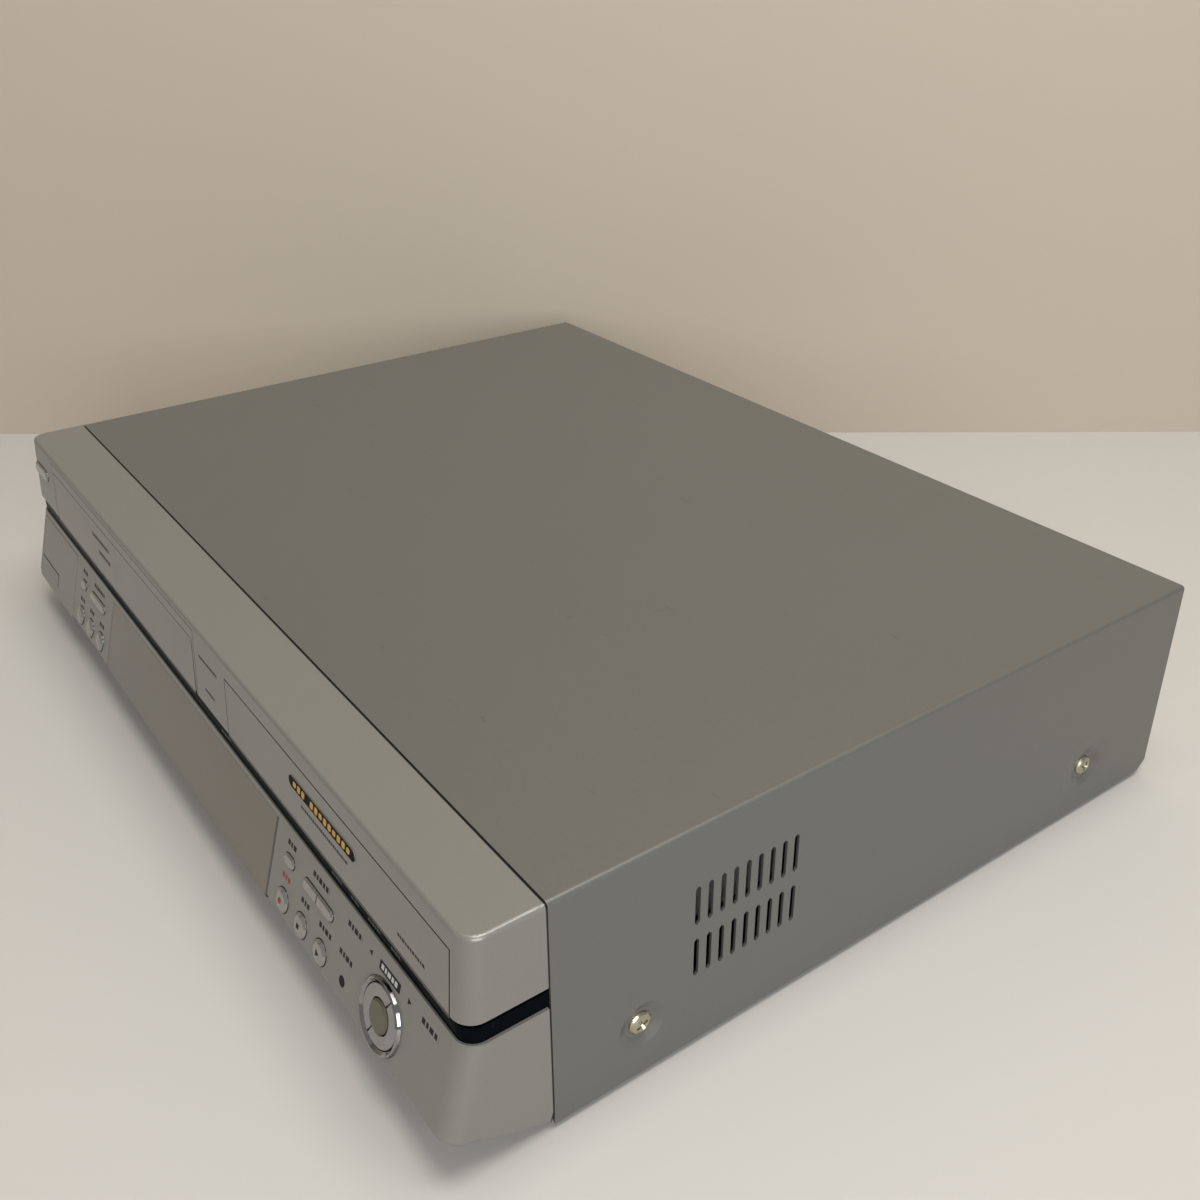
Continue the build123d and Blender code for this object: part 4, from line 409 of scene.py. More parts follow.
def gloss_black(look):
    """Polished black strip below, flat black in the shadow gap above it."""
    paint = Paint("gloss_black", Specular_IOR_Level=0.004)
    gap = paint.axis("Z").above(COVER_FOOT + BAND_STEP - 0.05 * MM)
    dust = paint.rescale(paint.noise(520, 3), 0.62, 0.8, 0, 0.5)
    paint.feed("Base Color", paint.blend(dust, (0.003, 0.004, 0.005), (0.014, 0.015, 0.015)))
    paint.feed("Roughness", gap * 0.45 + paint.rescale(dust, 0, 0.5, 0.1, 0.24))
    return paint.material


def dark_lens(look):
    """Smoked plastic over the receiver."""
    paint = Paint("dark_lens", Specular_IOR_Level=0.05)
    swirl = paint.noise(260, 2)
    paint.feed("Base Color", paint.blend(swirl, (0.007, 0.005, 0.006), (0.015, 0.009, 0.011)))
    paint.feed("Roughness", paint.rescale(swirl, 0.3, 0.7, 0.05, 0.1))
    return paint.material


def tinted_window(look):
    """Half-mirrored brown pane: faint vertical rolling lines, painted shade darkening it towards the left, painted
    shade lines at its ends, and a little dust.
    """
    paint = Paint("tinted_window", Metallic=0.9, Coat_Weight=0.6, Coat_Roughness=0.04)
    rolled = paint.noise(240, 1, (1, 0.02, 0.02))
    dust = paint.rescale(paint.noise(900, 4), 0.66, 0.8, 0, 0.4)
    tint = paint.blend(rolled, scaled(look.window, 0.95), scaled(look.window, 1.05))
    along = paint.axis("X")
    # Painted shade: a near-black line at each end of the pane, for the gap there.
    from_middle = (along - sum(WINDOW_ENDS) / 2).size()
    rim = from_middle.above((WINDOW_ENDS[1] - WINDOW_ENDS[0]) / 2 - WINDOW_END_SHADE)
    # Painted shade: the pane darkens towards its left end, a painted dark reflection.
    tint = paint.blend(paint.rescale(along, -110 * MM, 90 * MM, 0.62, 0.2), tint, (0.02, 0.017, 0.015))
    tint = paint.blend(rim, tint, (0.006, 0.006, 0.006))
    paint.feed("Base Color", paint.blend(dust, tint, scaled(look.window, 1.35)))
    paint.feed("Roughness", paint.rescale(dust, 0, 0.4, 0.13, 0.26))
    return paint.material


def bright_chrome(look):
    """Chromium plating with a trace of orange peel."""
    paint = Paint("bright_chrome", Metallic=1.0)
    peel = paint.noise(420, 2)
    paint.feed("Base Color", paint.blend(peel, (0.28, 0.28, 0.28), (0.38, 0.38, 0.38)))
    paint.feed("Roughness", paint.rescale(peel, 0.3, 0.7, 0.07, 0.14))
    paint.bump(peel, 0.01 * MM, 0.4)
    return paint.material


def champagne_metal(look):
    """Satin champagne cap with fine upright brushing."""
    paint = Paint("champagne_metal", Metallic=0.6, Coat_Weight=0.2)
    brush = paint.noise(1500, 3, (1, 0.12, 0.12))
    paint.feed("Base Color", paint.blend(brush, scaled(look.champagne, 0.82), scaled(look.champagne, 1.2)))
    paint.feed("Roughness", paint.rescale(brush, 0.3, 0.7, 0.32, 0.44))
    paint.bump(brush, 0.01 * MM, 0.6)
    return paint.material


def zinc_steel(look):
    """Zinc-plated sheet: soft spangle and rolling marks."""
    paint = Paint("zinc_steel", Metallic=0.9)
    spangle = paint.cells(160)
    grain = paint.noise(700, 3, (1, 0.2, 1))
    tone = paint.rescale(spangle, 0, 0.7) * 0.6 + grain * 0.4
    paint.feed("Base Color", paint.blend(tone, (0.25, 0.25, 0.245), (0.38, 0.38, 0.375)))
    paint.feed("Roughness", paint.rescale(grain, 0.3, 0.7, 0.3, 0.46))
    paint.bump(grain, 0.01 * MM, 0.5)
    return paint.material


def nickel_screw(look):
    """Slightly yellowed nickel with turning marks."""
    paint = Paint("nickel_screw", Metallic=1.0)
    stain = paint.noise(900, 3)
    paint.feed("Base Color", paint.blend(stain, (0.36, 0.33, 0.24), (0.58, 0.55, 0.44)))
    paint.feed("Roughness", paint.rescale(stain, 0.3, 0.7, 0.2, 0.36))
    paint.bump(stain, 0.02 * MM, 0.4)
    return paint.material


def foot_rubber(look):
    """Matt black rubber, dusty in its grain."""
    paint = Paint("foot_rubber", Specular_IOR_Level=0.3)
    grain = paint.noise(1100, 4)
    paint.feed("Base Color", paint.blend(paint.rescale(grain, 0.5, 0.8), (0.012, 0.012, 0.012), (0.04, 0.039, 0.037)))
    paint.feed("Roughness", paint.rescale(grain, 0.3, 0.7, 0.72, 0.9))
    paint.bump(grain, 0.05 * MM, 0.6)
    return paint.material


def circuit_board(look):
    """Tan paper board with printed tracks showing through."""
    paint = Paint("circuit_board", Coat_Weight=0.2, Coat_Roughness=0.3)
    fibre = paint.noise(500, 4)
    tracks = paint.cells(260, (1, 0.45, 1)).below(0.16)
    body = paint.blend(fibre, (0.22, 0.13, 0.05), (0.34, 0.21, 0.09))
    paint.feed("Base Color", paint.blend(tracks * 0.7, body, (0.09, 0.10, 0.045)))
    paint.feed("Roughness", paint.rescale(fibre, 0.3, 0.7, 0.45, 0.6))
    paint.bump(tracks, 0.03 * MM, 0.5)
    return paint.material


def black_plastic(look):
    """Fine spark-eroded black moulding."""
    paint = Paint("black_plastic")
    grain = paint.noise(2400, 3)
    paint.feed("Base Color", paint.blend(grain, (0.012, 0.012, 0.013), (0.026, 0.026, 0.027)))
    paint.feed("Roughness", paint.rescale(grain, 0.3, 0.7, 0.46, 0.62))
    paint.bump(grain, 0.02 * MM, 0.7)
    return paint.material


def roller_rubber(look):
    """Ground rubber with a fine lathe pattern round the roller."""
    paint = Paint("roller_rubber", Specular_IOR_Level=0.35)
    rings = (paint.axis("Z") * (2 * pi / (0.5 * MM))).sine()
    grain = paint.noise(1500, 2)
    paint.feed("Base Color", paint.blend(grain, (0.014, 0.014, 0.014), (0.032, 0.031, 0.03)))
    paint.feed("Roughness", paint.rescale(grain, 0.3, 0.7, 0.6, 0.75))
    paint.bump(rings * 0.3 + grain, 0.02 * MM, 0.4)
    return paint.material


def turned(name, dark, light, low, high, pitch):
    """A turned metal: fine rings along the height, with a little stain."""
    paint = Paint(name, Metallic=1.0)
    rings = (paint.axis("Z") * (2 * pi / pitch)).sine()
    stain = paint.noise(300, 3)
    paint.feed("Base Color", paint.blend(stain, dark, light))
    paint.feed("Roughness", paint.rescale(rings * 0.25 + stain, 0.2, 0.9, low, high))
    paint.bump(rings, 0.004 * MM, 0.4)
    return paint.material


def machined_aluminium(look):
    return turned("machined_aluminium", (0.56, 0.57, 0.58), (0.68, 0.68, 0.69), 0.16, 0.28, 0.35 * MM)


def turned_steel(look):
    return turned("turned_steel", (0.38, 0.38, 0.38), (0.5, 0.5, 0.49), 0.18, 0.32, 0.45 * MM)


def sleeve_brass(look):
    return turned("sleeve_brass", (0.42, 0.29, 0.12), (0.58, 0.42, 0.2), 0.22, 0.36, 0.5 * MM)


def moulded(name, dark, light, low=0.32, high=0.46, shine=0.5):
    """A plain coloured moulding with a trace of flow and grain."""
    paint = Paint(name, Specular_IOR_Level=shine)
    grain = paint.noise(1300, 3)
    flow = paint.noise(60, 2)
    paint.feed("Base Color", paint.blend(flow, dark, light))
    paint.feed("Roughness", paint.rescale(grain, 0.3, 0.7, low, high))
    paint.bump(grain, 0.015 * MM, 0.4)
    return paint.material


def white_plastic(look):
    return moulded("white_plastic", (0.62, 0.61, 0.57), (0.74, 0.73, 0.69))


def core_steel(look):
    """Varnished laminations."""
    paint = Paint("core_steel", Coat_Weight=0.3)
    layers = (paint.axis("Y") * (2 * pi / (0.7 * MM))).sine()
    stain = paint.noise(240, 3)
    paint.feed("Base Color", paint.blend(stain, (0.018, 0.018, 0.02), (0.05, 0.046, 0.04)))
    paint.feed("Roughness", paint.rescale(stain, 0.3, 0.7, 0.34, 0.5))
    paint.bump(layers, 0.05 * MM, 0.4)
    return paint.material


def printed(name, rgb):
    """Screen-printed ink: near flat, with a slightly starved edge."""
    paint = Paint(name, Specular_IOR_Level=0.1)
    starve = paint.noise(3200, 2)
    paint.feed("Base Color", paint.blend(paint.rescale(starve, 0.5, 0.8), rgb, scaled(rgb, 1.35)))
    paint.feed("Roughness", paint.rescale(starve, 0.3, 0.7, 0.36, 0.5))
    return paint.material


# ---- Which node has which finish: the record's own slots ----
SLOT_OF = {row["node"]: row["material_slot"] for row in frame["record"]["subparts"]}


def apply_finish(slot_name, material):
    for node, slot in SLOT_OF.items():
        if slot == slot_name:
            mesh = frame["nodes"][node].data
            mesh.materials.clear()
            mesh.materials.append(material)


# ---- Mesh helpers ----


def face_frame(face, x, height, proud=0.0, turn=0.0):
    """A frame on a front face: x along the cabinet, y up the face, z out of it."""
    (low, low_reach), (high, high_reach) = face
    share = (height - low) / (high - low)
    reach = low_reach + (high_reach - low_reach) * share
    lean = hypot(high - low, high_reach - low_reach)
    out = Vector((0, -(high - low) / lean, (low_reach - high_reach) / lean))
    right = Vector((1, 0, 0))
    up = out.cross(right)
    at = Vector((x, SEAM_Y - reach, COVER_FOOT + height)) + out * proud
    basis = Matrix((right, up, out)).transposed().to_4x4()
    return Matrix.Translation(at) @ basis @ Matrix.Rotation(turn, 4, "Z")


def finished_piece(mesh_tool, name, material, body, smooth=False):
    """Makes the piece, which then rides on its body."""
    bmesh.ops.recalc_face_normals(mesh_tool, faces=mesh_tool.faces)
    mesh = bpy.data.meshes.new(name)
    mesh_tool.to_mesh(mesh)
    mesh_tool.free()
    for polygon in mesh.polygons:
        polygon.use_smooth = smooth
    piece = bpy.data.objects.new(name, mesh)
    bpy.context.scene.collection.objects.link(piece)
    mesh.materials.append(material)
    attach(piece, body)
    return piece


def tile(mesh_tool, place, width, height, thick=INK):
    """A thin printed block, its foot just under the surface."""
    size = Matrix.Diagonal((width, height, thick, 1))
    bmesh.ops.create_cube(mesh_tool, size=1, matrix=place @ Matrix.Translation((0, 0, thick / 4)) @ size)


def word(mesh_tool, face, x, height, span, tall, proud=0.0):
    """A row of short bars, as long as a printed word, that spells nothing."""
    widths = (0.9, 0.6, 1.1, 0.75)
    gap = 0.4 * tall
    done = 0.0
    k = 0
    while done < span:
        wide = min(widths[k % len(widths)] * tall, span - done)
        middle = x - span / 2 + done + wide / 2
        tile(mesh_tool, face_frame(face, middle, height, proud), wide, tall)
        done += wide + gap
        k += 1


def words(name, face, rows, tall, material, body):
    mesh_tool = bmesh.new()
    for x, height, span in rows:
        word(mesh_tool, face, x * MM, height * MM, span * MM, tall)
    return finished_piece(mesh_tool, name, material, body)


def rounded_tile(mesh_tool, place, width, height, thick, corner, segments=8):
    """A block with the corners of its outline rounded."""
    made = bmesh.ops.create_cube(mesh_tool, size=1, matrix=Matrix.Diagonal((width, height, thick, 1)))
    verts = made["verts"]
    edges = {e for v in verts for e in v.link_edges if abs(e.verts[0].co.z - e.verts[1].co.z) > thick / 2}
    bevelled = bmesh.ops.bevel(mesh_tool, geom=list(edges), offset=corner, offset_type="OFFSET", affect="EDGES",
                               segments=segments, profile=0.5, material=-1)
    moved = {v for f in bevelled["faces"] for v in f.verts} | {v for v in verts if v.is_valid}
    bmesh.ops.transform(mesh_tool, matrix=place, verts=list(moved))


def symbol(name, face, x, height, sides, radius, proud, turn, material, body):
    """A printed dot, square or triangle."""
    mesh_tool = bmesh.new()
    made = bmesh.ops.create_circle(mesh_tool, cap_ends=True, segments=sides, radius=radius,
                                   matrix=face_frame(face, x, height, proud - INK / 4, turn))
    faces = list({f for v in made["verts"] for f in v.link_faces})
    raised = bmesh.ops.extrude_face_region(mesh_tool, geom=faces)
    out = face_frame(face, x, height).to_3x3() @ Vector((0, 0, INK))
    top = [g for g in raised["geom"] if isinstance(g, bmesh.types.BMVert)]
    bmesh.ops.translate(mesh_tool, verts=top, vec=out)
    return finished_piece(mesh_tool, name, material, body)


def turned_piece(mesh_tool, profile, place, steps, closed=False):
    """Spins a profile of (radius, height) points round the frame's z axis."""
    verts = [mesh_tool.verts.new((radius, 0, height)) for radius, height in profile]
    pairs = list(zip(verts, verts[1:]))
    if closed:
        pairs.append((verts[-1], verts[0]))
    edges = [mesh_tool.edges.new(pair) for pair in pairs]
    spun = bmesh.ops.spin(mesh_tool, geom=verts + edges, cent=(0, 0, 0), axis=(0, 0, 1), angle=2 * pi, steps=steps,
                          use_merge=True)
    island = set(verts) | {g for g in spun["geom_last"] if isinstance(g, bmesh.types.BMVert)}
    reach = list(island)
    while reach:
        vert = reach.pop()
        if not vert.is_valid:
            continue
        for edge in vert.link_edges:
            other = edge.other_vert(vert)
            if other not in island:
                island.add(other)
                reach.append(other)
    alive = [v for v in island if v.is_valid]
    bmesh.ops.remove_doubles(mesh_tool, verts=alive, dist=1e-7)
    alive = [v for v in alive if v.is_valid]
    bmesh.ops.transform(mesh_tool, matrix=place, verts=alive)


def cross_recess_head(radius, height, steps):
    """Mesh of a domed screw head with a cross recess, its seat at the origin."""
    mesh_tool = bmesh.new()
    rim = 0.62 * radius
    profile = ((rim, 0.86 * height), (0.84 * radius, 0.6 * height), (0.97 * radius, 0.26 * height), (radius, 0),
               (0, 0))
    turned_piece(mesh_tool, profile, Matrix.Identity(4), steps)
    ring = [edge for edge in mesh_tool.edges if edge.is_boundary]
    reach, half = 0.54 * radius, 0.12 * radius
    corners = []
    for k in range(4):
        turn = Matrix.Rotation(k * pi / 2, 3, "Z")
        for x, y in ((reach, -half), (reach, half), (half, half)):
            rise = height * (1 - 0.14 * (hypot(x, y) / rim) ** 2)
            corners.append(mesh_tool.verts.new(turn @ Vector((x, y, rise))))
    cross = [mesh_tool.edges.new((corners[k - 1], corners[k])) for k in range(len(corners))]
    bmesh.ops.triangle_fill(mesh_tool, use_beauty=True, edges=ring + cross)
    sunk = bmesh.ops.extrude_edge_only(mesh_tool, edges=cross)["geom"]
    floor = [g for g in sunk if isinstance(g, bmesh.types.BMVert)]
    bmesh.ops.translate(mesh_tool, verts=floor, vec=(0, 0, -0.7 * height))
    bmesh.ops.scale(mesh_tool, verts=floor, vec=(0.6, 0.6, 1))
    bmesh.ops.edgeloop_fill(mesh_tool, edges=[g for g in sunk if isinstance(g, bmesh.types.BMEdge)])
    bmesh.ops.recalc_face_normals(mesh_tool, faces=mesh_tool.faces)
    head = bpy.data.meshes.new("cross_recess_head")
    mesh_tool.to_mesh(head)
    mesh_tool.free()
    return head


# ---- Operators ----


class RECORDER_OT_casing(bpy.types.Operator):
    """Paint on the cover and pan, rubber on the feet"""

    bl_idname = "recorder.casing"
    bl_label = "Finish the casing"

    def execute(self, context):
        look = context.scene.recorder_finish
        for finish in (cover_paint, zinc_steel, foot_rubber):
            apply_finish(finish.__name__, finish(look))
        return {"FINISHED"}


class RECORDER_OT_front(bpy.types.Operator):
    """Finishes of the moulded front, its strip, window, dial and buttons"""

    bl_idname = "recorder.front"
    bl_label = "Finish the front"

    def execute(self, context):
        look = context.scene.recorder_finish
        for finish in (silver_moulding, silver_button, gloss_black, dark_lens, tinted_window, bright_chrome,
                       champagne_metal):
            apply_finish(finish.__name__, finish(look))
        return {"FINISHED"}


class RECORDER_OT_domes(bpy.types.Operator):
    """Domed tops of the round buttons"""

    bl_idname = "recorder.domes"
    bl_label = "Dome the round buttons"

    def execute(self, context):
        size = context.scene.recorder_marks
        finish = frame["nodes"]["play_button"].data.materials[0]
        for body in ROUND_BUTTONS:
            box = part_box(body)
            radius, rise = size.dome_radius, size.dome_height
            profile = [(radius * k / 6, rise * (1 - (k / 6) ** 2)) for k in range(7)] + [(radius, -INK)]
            mesh_tool = bmesh.new()
            place = face_frame(LOWER_FACE, (box[0].x + box[1].x) / 2, ROUND_HEIGHT, BUTTON_PROUD)
            turned_piece(mesh_tool, profile, place, size.round_steps)
            finished_piece(mesh_tool, f"{body}_dome", finish, body, True)
        return {"FINISHED"}


class RECORDER_OT_inside(bpy.types.Operator):
    """Finishes of the cassette deck, the disc drive, the boards and the back"""

    bl_idname = "recorder.inside"
    bl_label = "Finish the mechanisms"

    def execute(self, context):
        look = context.scene.recorder_finish
        for finish in (circuit_board, black_plastic, roller_rubber, machined_aluminium, turned_steel, sleeve_brass,
                       white_plastic, core_steel, nickel_screw):
            apply_finish(finish.__name__, finish(look))
        return {"FINISHED"}


class RECORDER_OT_screws(bpy.types.Operator):
    """Cover screws with domed heads and cross recesses"""

    bl_idname = "recorder.screws"
    bl_label = "Make the cover screws"

    def execute(self, context):
        size = context.scene.recorder_marks
        head = cross_recess_head(size.screw_radius, size.screw_height, size.round_steps)
        mesh_tool = bmesh.new()
        for k, place in enumerate(self.places()):
            start = len(mesh_tool.verts)
            mesh_tool.from_mesh(head)
            mesh_tool.verts.ensure_lookup_table()
            fresh = mesh_tool.verts[start:]
            bmesh.ops.transform(mesh_tool, matrix=place @ Matrix.Rotation(radians(20 + 47 * k), 4, "Z"), verts=fresh)
        piece = finished_piece(mesh_tool, "cross_recess_screws", frame["nodes"]["cover_screws"].data.materials[0],
                               "cabinet")
        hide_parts("cover_screws")
        return {"FINISHED"}

    def places(self):
        found = []
        for side in (-1, 1):
            for y, z in SIDE_SCREWS:
                at = Vector((side * (COVER_HALF - DIMPLE_SEAT), SEAM_Y + y, COVER_FOOT + z))
                found.append(Matrix.Translation(at) @ Matrix.Rotation(side * pi / 2, 4, "Y"))
        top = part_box("top_cover")[1].z
        for x in LIP_SCREWS:
            at = Vector((x, COVER_BACK, top - LIP_SCREW_DROP))
            found.append(Matrix.Translation(at) @ Matrix.Rotation(-pi / 2, 4, "X"))
        return found


class RECORDER_OT_marks(bpy.types.Operator):
    """Printed rows, symbols and the dark badge on the front"""

    bl_idname = "recorder.marks"
    bl_label = "Print the front"

    def execute(self, context):
        look, size = context.scene.recorder_finish, context.scene.recorder_marks
        dark = printed("dark_print", look.ink)
        pale = printed("pale_print", (0.5, 0.5, 0.48))
        faint = printed("faint_print", (0.075, 0.077, 0.077))
        red = printed("red_print", look.record)
        gold = printed("gold_print", look.gold)
        words("left_label_rows", LOWER_FACE, LEFT_LABELS, size.letter, dark, "cabinet")
        words("right_label_rows", LOWER_FACE, RIGHT_LABELS, size.letter, dark, "cabinet")
        words("record_label_row", LOWER_FACE, RECORD_LABEL, size.letter, red, "cabinet")
        words("strip_marks", BAND_FACE, BAND_LABELS, size.fine, faint, "cabinet")
        words("post_marks", UPPER_FACE, POST_LABELS, size.fine, dark, "cabinet")
        words("flap_marks", UPPER_FACE, FLAP_LABELS, size.letter, dark, "cassette_flap")
        words("tray_marks", UPPER_FACE, TRAY_LABELS, size.fine, dark, "disc_tray")
        self.selector(size, dark, pale)
        self.badge(size, gold)
        # Painted shadow line at the finger hold of the socket cover.
        self.finger_hold(dark)
        record, stop, play = (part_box(f"{which}_button") for which in ("record", "stop", "play"))
        top = BUTTON_PROUD + size.dome_height
        for name, box, sides, scale, turn, ink, body in (
                ("record_dot", record, 32, 0.9, 0, red, "record_button"),
                ("stop_square", stop, 4, 1.0, pi / 4, dark, "stop_button"),
                ("play_triangle", play, 3, 1.15, -pi / 2, dark, "play_button")):
            symbol(name, LOWER_FACE, (box[0].x + box[1].x) / 2, ROUND_HEIGHT, sides, scale * size.symbol, top,
                   turn, ink, body)
        return {"FINISHED"}

    def selector(self, size, dark, pale):
        """A dark box between two arrows over the dial."""
        x, height, width, tall = (value * MM for value in SELECTOR_BOX)
        mesh_tool = bmesh.new()
        rounded_tile(mesh_tool, face_frame(LOWER_FACE, x, height), width, tall, INK * 1.5, 0.4 * MM)
        finished_piece(mesh_tool, "selector_box", dark, "cabinet")
        mesh_tool = bmesh.new()
        word(mesh_tool, LOWER_FACE, x, height, width - 2.4 * MM, 0.5 * tall, INK)
        finished_piece(mesh_tool, "selector_row", pale, "cabinet")
        for k, (ax, az, turn) in enumerate(SELECTOR_ARROWS):
            symbol(f"selector_arrow_{k + 1}", LOWER_FACE, ax * MM, az * MM, 3, size.symbol, 0, radians(turn - 90)
                   + pi / 2, dark, "cabinet")

    def finger_hold(self, dark):
        """A painted shadow line, in dark print, over and beside the finger hold of the socket cover."""
        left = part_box("socket_cover")[0].x + 4 * HOLD_SHADOW_LINE
        right, foot, top = FINGER_HOLD
        mesh_tool = bmesh.new()
        over = face_frame(LOWER_FACE, (left + right - HOLD_SHADOW_LINE / 2) / 2, top)
        tile(mesh_tool, over, right - HOLD_SHADOW_LINE / 2 - left, HOLD_SHADOW_LINE)
        beside = face_frame(LOWER_FACE, right, (foot + top + HOLD_SHADOW_LINE / 2) / 2)
        tile(mesh_tool, beside, HOLD_SHADOW_LINE, top + HOLD_SHADOW_LINE / 2 - foot)
        finished_piece(mesh_tool, "finger_hold_shadow_line", dark, "socket_cover")

    def badge(self, size, gold):
        """The dark pill on the tray's front with a row of slanted gold bars."""
        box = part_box("tray_fascia")
        x = (box[0].x + box[1].x) / 2
        enamel = moulded("badge_enamel", (0.005, 0.005, 0.006), (0.01, 0.01, 0.011), 0.3, 0.4, 0.01)
        mesh_tool = bmesh.new()
        rounded_tile(mesh_tool, face_frame(UPPER_FACE, x, BADGE_LEVEL, BADGE_PROUD), size.badge_width,
                     size.badge_height, 3 * INK, 0.49 * size.badge_height, 10)
        finished_piece(mesh_tool, "tray_badge", enamel, "disc_tray")
        mesh_tool = bmesh.new()
        pitch = 0.88 * size.badge_width / BADGE_BARS
        for k in range(BADGE_BARS):
            if k == BADGE_GAP:
                continue
            at = x + (k - (BADGE_BARS - 1) / 2) * pitch
            tall = (0.66 if k % 3 else 0.54) * size.badge_height
            place = face_frame(UPPER_FACE, at, BADGE_LEVEL, BADGE_PROUD + 1.4 * INK)
            shear = Matrix.Shear("XZ", 4, (BAR_SLANT, 0))
            rounded_tile(mesh_tool, place @ shear, 0.7 * pitch, tall, INK, 0.2 * pitch, 3)
        finished_piece(mesh_tool, "tray_badge_bars", gold, "disc_tray")


class RECORDER_OT_sockets(bpy.types.Operator):
    """Plated sleeves and coloured rings of the phono and aerial sockets"""

    bl_idname = "recorder.sockets"
    bl_label = "Dress the sockets"

    def execute(self, context):
        size = context.scene.recorder_marks
        nickel = turned("socket_nickel", (0.42, 0.41, 0.38), (0.58, 0.57, 0.53), 0.2, 0.32, 0.4 * MM)
        rings = {
            "yellow": moulded("yellow_ring", (0.62, 0.42, 0.02), (0.72, 0.5, 0.04)),
            "white": moulded("white_ring", (0.66, 0.65, 0.62), (0.76, 0.75, 0.72)),
            "red": moulded("red_ring", (0.42, 0.02, 0.015), (0.52, 0.035, 0.02)),
        }
        rear = [Matrix.Translation((x, PANEL_BACK, COVER_FOOT + z)) @ Matrix.Rotation(-pi / 2, 4, "X")
                for z in PHONO_Z for x in PHONO_X]
        front = [face_frame(LOWER_FACE, x, FRONT_SOCKET_Z, -FRONT_SOCKET_DEPTH) for x in FRONT_PHONO_X]
        self.sleeves("rear_phono_sleeves", rear, JACK_END - PANEL_BACK, nickel, size.round_steps)
        self.sleeves("front_phono_sleeves", front, FRONT_BARREL, nickel, size.round_steps)
        for k, shade in enumerate(("yellow", "white", "red")):
            mesh_tool = bmesh.new()
            for place in rear[k::3] + front[k:k + 1]:
                self.ring(mesh_tool, place, size.round_steps)
            finished_piece(mesh_tool, f"{shade}_socket_rings", rings[shade], "cabinet", True)
        self.threads(size, nickel)
        return {"FINISHED"}

    def sleeves(self, name, places, reach, material, steps):
        mesh_tool = bmesh.new()
        outer, inner = PHONO_RADIUS + SLEEVE_OVER, PHONO_RADIUS - SLEEVE_LAP
        for place in places:
            profile = ((PHONO_RADIUS + SLEEVE_FIT, SLEEVE_START), (outer, SLEEVE_START), (outer, reach - LIP_DROP),
                       (outer - LIP_BEVEL, reach), (inner, reach), (inner, reach + 2 * SLEEVE_FIT - LIP_DROP))
            turned_piece(mesh_tool, profile, place, steps)
        finished_piece(mesh_tool, name, material, "cabinet", True)

    def ring(self, mesh_tool, place, steps):
        profile = ((RING_INNER, 0), (RING_OUTER, 0), (RING_OUTER, 0.7 * RING_HEIGHT),
                   (RING_OUTER - LIP_DROP, RING_HEIGHT), (RING_INNER, RING_HEIGHT))
        turned_piece(mesh_tool, profile, place, steps, closed=True)

    def threads(self, size, nickel):
        mesh_tool = bmesh.new()
        reach = AERIAL_END - PANEL_BACK
        turns = int((reach - 1.6 * MM) / size.thread_pitch)
        for x in AERIAL_X:
            place = Matrix.Translation((x, PANEL_BACK, COVER_FOOT + AERIAL_Z)) @ Matrix.Rotation(-pi / 2, 4, "X")
            profile = [(THREAD_HIGH, 0.2 * MM), (THREAD_HIGH, THREAD_START - 0.1 * MM)]
            for k in range(turns):
                at = THREAD_START + k * size.thread_pitch
                profile += [(THREAD_LOW, at), (THREAD_HIGH, at + size.thread_pitch / 2)]
            profile += [(THREAD_LOW, reach - 0.1 * MM), (THREAD_LOW - 1.2 * MM, reach)]
            turned_piece(mesh_tool, profile, place, size.round_steps)
        finished_piece(mesh_tool, "aerial_threads", nickel, "cabinet")


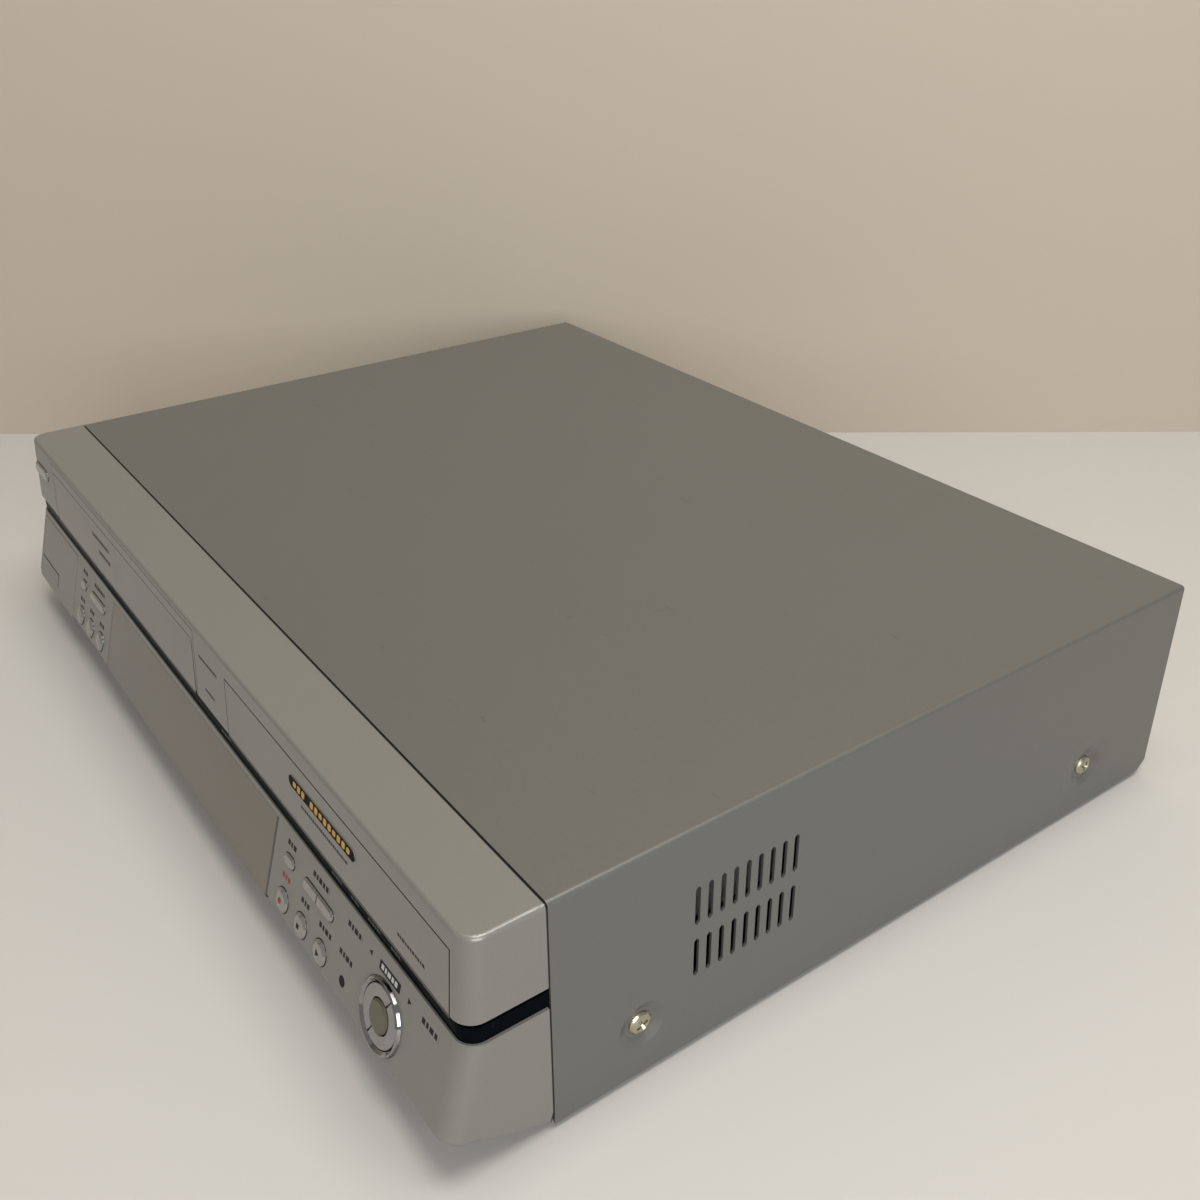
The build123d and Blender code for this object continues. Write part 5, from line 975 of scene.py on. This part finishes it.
class RECORDER_OT_studio(bpy.types.Operator):
    """Pale floor and wall, soft lamps and the camera; the wall shows from its front only"""

    bl_idname = "recorder.studio"
    bl_label = "Set up the studio"

    def execute(self, context):
        set_up = context.scene.recorder_studio
        self.backdrop(set_up)
        self.lamps(context, set_up)
        self.camera(context, set_up)
        context.scene.view_settings.view_transform = "Standard"
        return {"FINISHED"}

    def backdrop(self, set_up):
        heading = Matrix.Rotation(set_up.camera_turn[2], 4, "Z")
        for name, rgb in (("studio_floor", set_up.floor), ("studio_wall", set_up.wall)):
            paint = Paint(name, Specular_IOR_Level=0.25)
            tone = paint.noise(3, 2)
            fine = paint.noise(220, 3)
            paint.feed("Base Color", paint.blend(tone, scaled(rgb, 0.985), scaled(rgb, 1.015)))
            paint.feed("Roughness", paint.rescale(fine, 0.3, 0.7, 0.5, 0.6))
            mesh_tool = bmesh.new()
            if name == "studio_floor":
                bmesh.ops.create_grid(mesh_tool, x_segments=4, y_segments=4, size=SHEET_HALF)
            else:
                place = Matrix.Translation(WALL_FOOT) @ heading @ Matrix.Rotation(pi / 2, 4, "X")
                bmesh.ops.create_grid(mesh_tool, x_segments=4, y_segments=4, size=SHEET_HALF, matrix=place)
                behind = paint.out(paint.node("ShaderNodeNewGeometry"), "Backfacing")
                paint.feed("Alpha", 1 - behind)
            mesh = bpy.data.meshes.new(name)
            mesh_tool.to_mesh(mesh)
            mesh_tool.free()
            sheet = bpy.data.objects.new(name, mesh)
            bpy.context.scene.collection.objects.link(sheet)
            mesh.materials.append(paint.material)

    def lamps(self, context, set_up):
        world = bpy.data.worlds.new("even_light")
        world.use_nodes = True
        sky = world.node_tree.nodes["Background"]
        sky.inputs["Color"].default_value = SKY_TINT
        sky.inputs["Strength"].default_value = set_up.sky
        context.scene.world = world
        for (name, place, aim, wide, tint), power in ((KEY_LAMP, set_up.key), (FILL_LAMP, set_up.fill)):
            lamp = bpy.data.lights.new(name, "AREA")
            lamp.shape = "SQUARE"
            lamp.size = wide
            lamp.energy = power
            lamp.color = tint
            holder = bpy.data.objects.new(name, lamp)
            holder.location = place
            way = Vector(aim) - Vector(place)
            holder.rotation_euler = way.to_track_quat("-Z", "Y").to_euler()
            context.scene.collection.objects.link(holder)

    def camera(self, context, set_up):
        lens = bpy.data.cameras.new("camera")
        lens.sensor_width = SENSOR
        lens.lens = FOCAL_PIXELS / PICTURE * SENSOR
        lens.shift_x = 0.5 - PRINCIPAL_POINT[0] / PICTURE
        lens.shift_y = PRINCIPAL_POINT[1] / PICTURE - 0.5
        lens.clip_start = CLIP_START
        holder = bpy.data.objects.new("camera", lens)
        holder.location = set_up.camera_place
        holder.rotation_euler = Euler(set_up.camera_turn, "XYZ")
        context.scene.collection.objects.link(holder)
        context.scene.camera = holder


OPERATORS = (RECORDER_OT_casing, RECORDER_OT_front, RECORDER_OT_domes, RECORDER_OT_inside, RECORDER_OT_screws,
             RECORDER_OT_marks, RECORDER_OT_sockets, RECORDER_OT_studio)


class RECORDER_PT_sidebar(bpy.types.Panel):
    """Lists the recorder's steps and settings"""

    bl_label = "Recorder"
    bl_idname = "RECORDER_PT_sidebar"
    bl_space_type = "VIEW_3D"
    bl_region_type = "UI"
    bl_category = "Recorder"

    def draw(self, context):
        for operator in OPERATORS:
            self.layout.operator(operator.bl_idname)
        for group in (context.scene.recorder_finish, context.scene.recorder_marks, context.scene.recorder_studio):
            column = self.layout.column()
            for name in group.bl_rna.properties.keys():
                if name not in ("rna_type", "name"):
                    column.prop(group, name)


CLASSES = (RecorderFinish, RecorderMarks, RecorderStudio, *OPERATORS, RECORDER_PT_sidebar)


def register():
    for made in CLASSES:
        bpy.utils.register_class(made)
    bpy.types.Scene.recorder_finish = PointerProperty(type=RecorderFinish)
    bpy.types.Scene.recorder_marks = PointerProperty(type=RecorderMarks)
    bpy.types.Scene.recorder_studio = PointerProperty(type=RecorderStudio)


def unregister():
    del bpy.types.Scene.recorder_studio
    del bpy.types.Scene.recorder_marks
    del bpy.types.Scene.recorder_finish
    for made in reversed(CLASSES):
        bpy.utils.unregister_class(made)


def main():
    register()
    bpy.ops.recorder.casing()
    bpy.ops.recorder.front()
    bpy.ops.recorder.domes()
    bpy.ops.recorder.inside()
    bpy.ops.recorder.screws()
    bpy.ops.recorder.marks()
    bpy.ops.recorder.sockets()
    bpy.ops.recorder.studio()


if __name__ == "__main__":
    main()
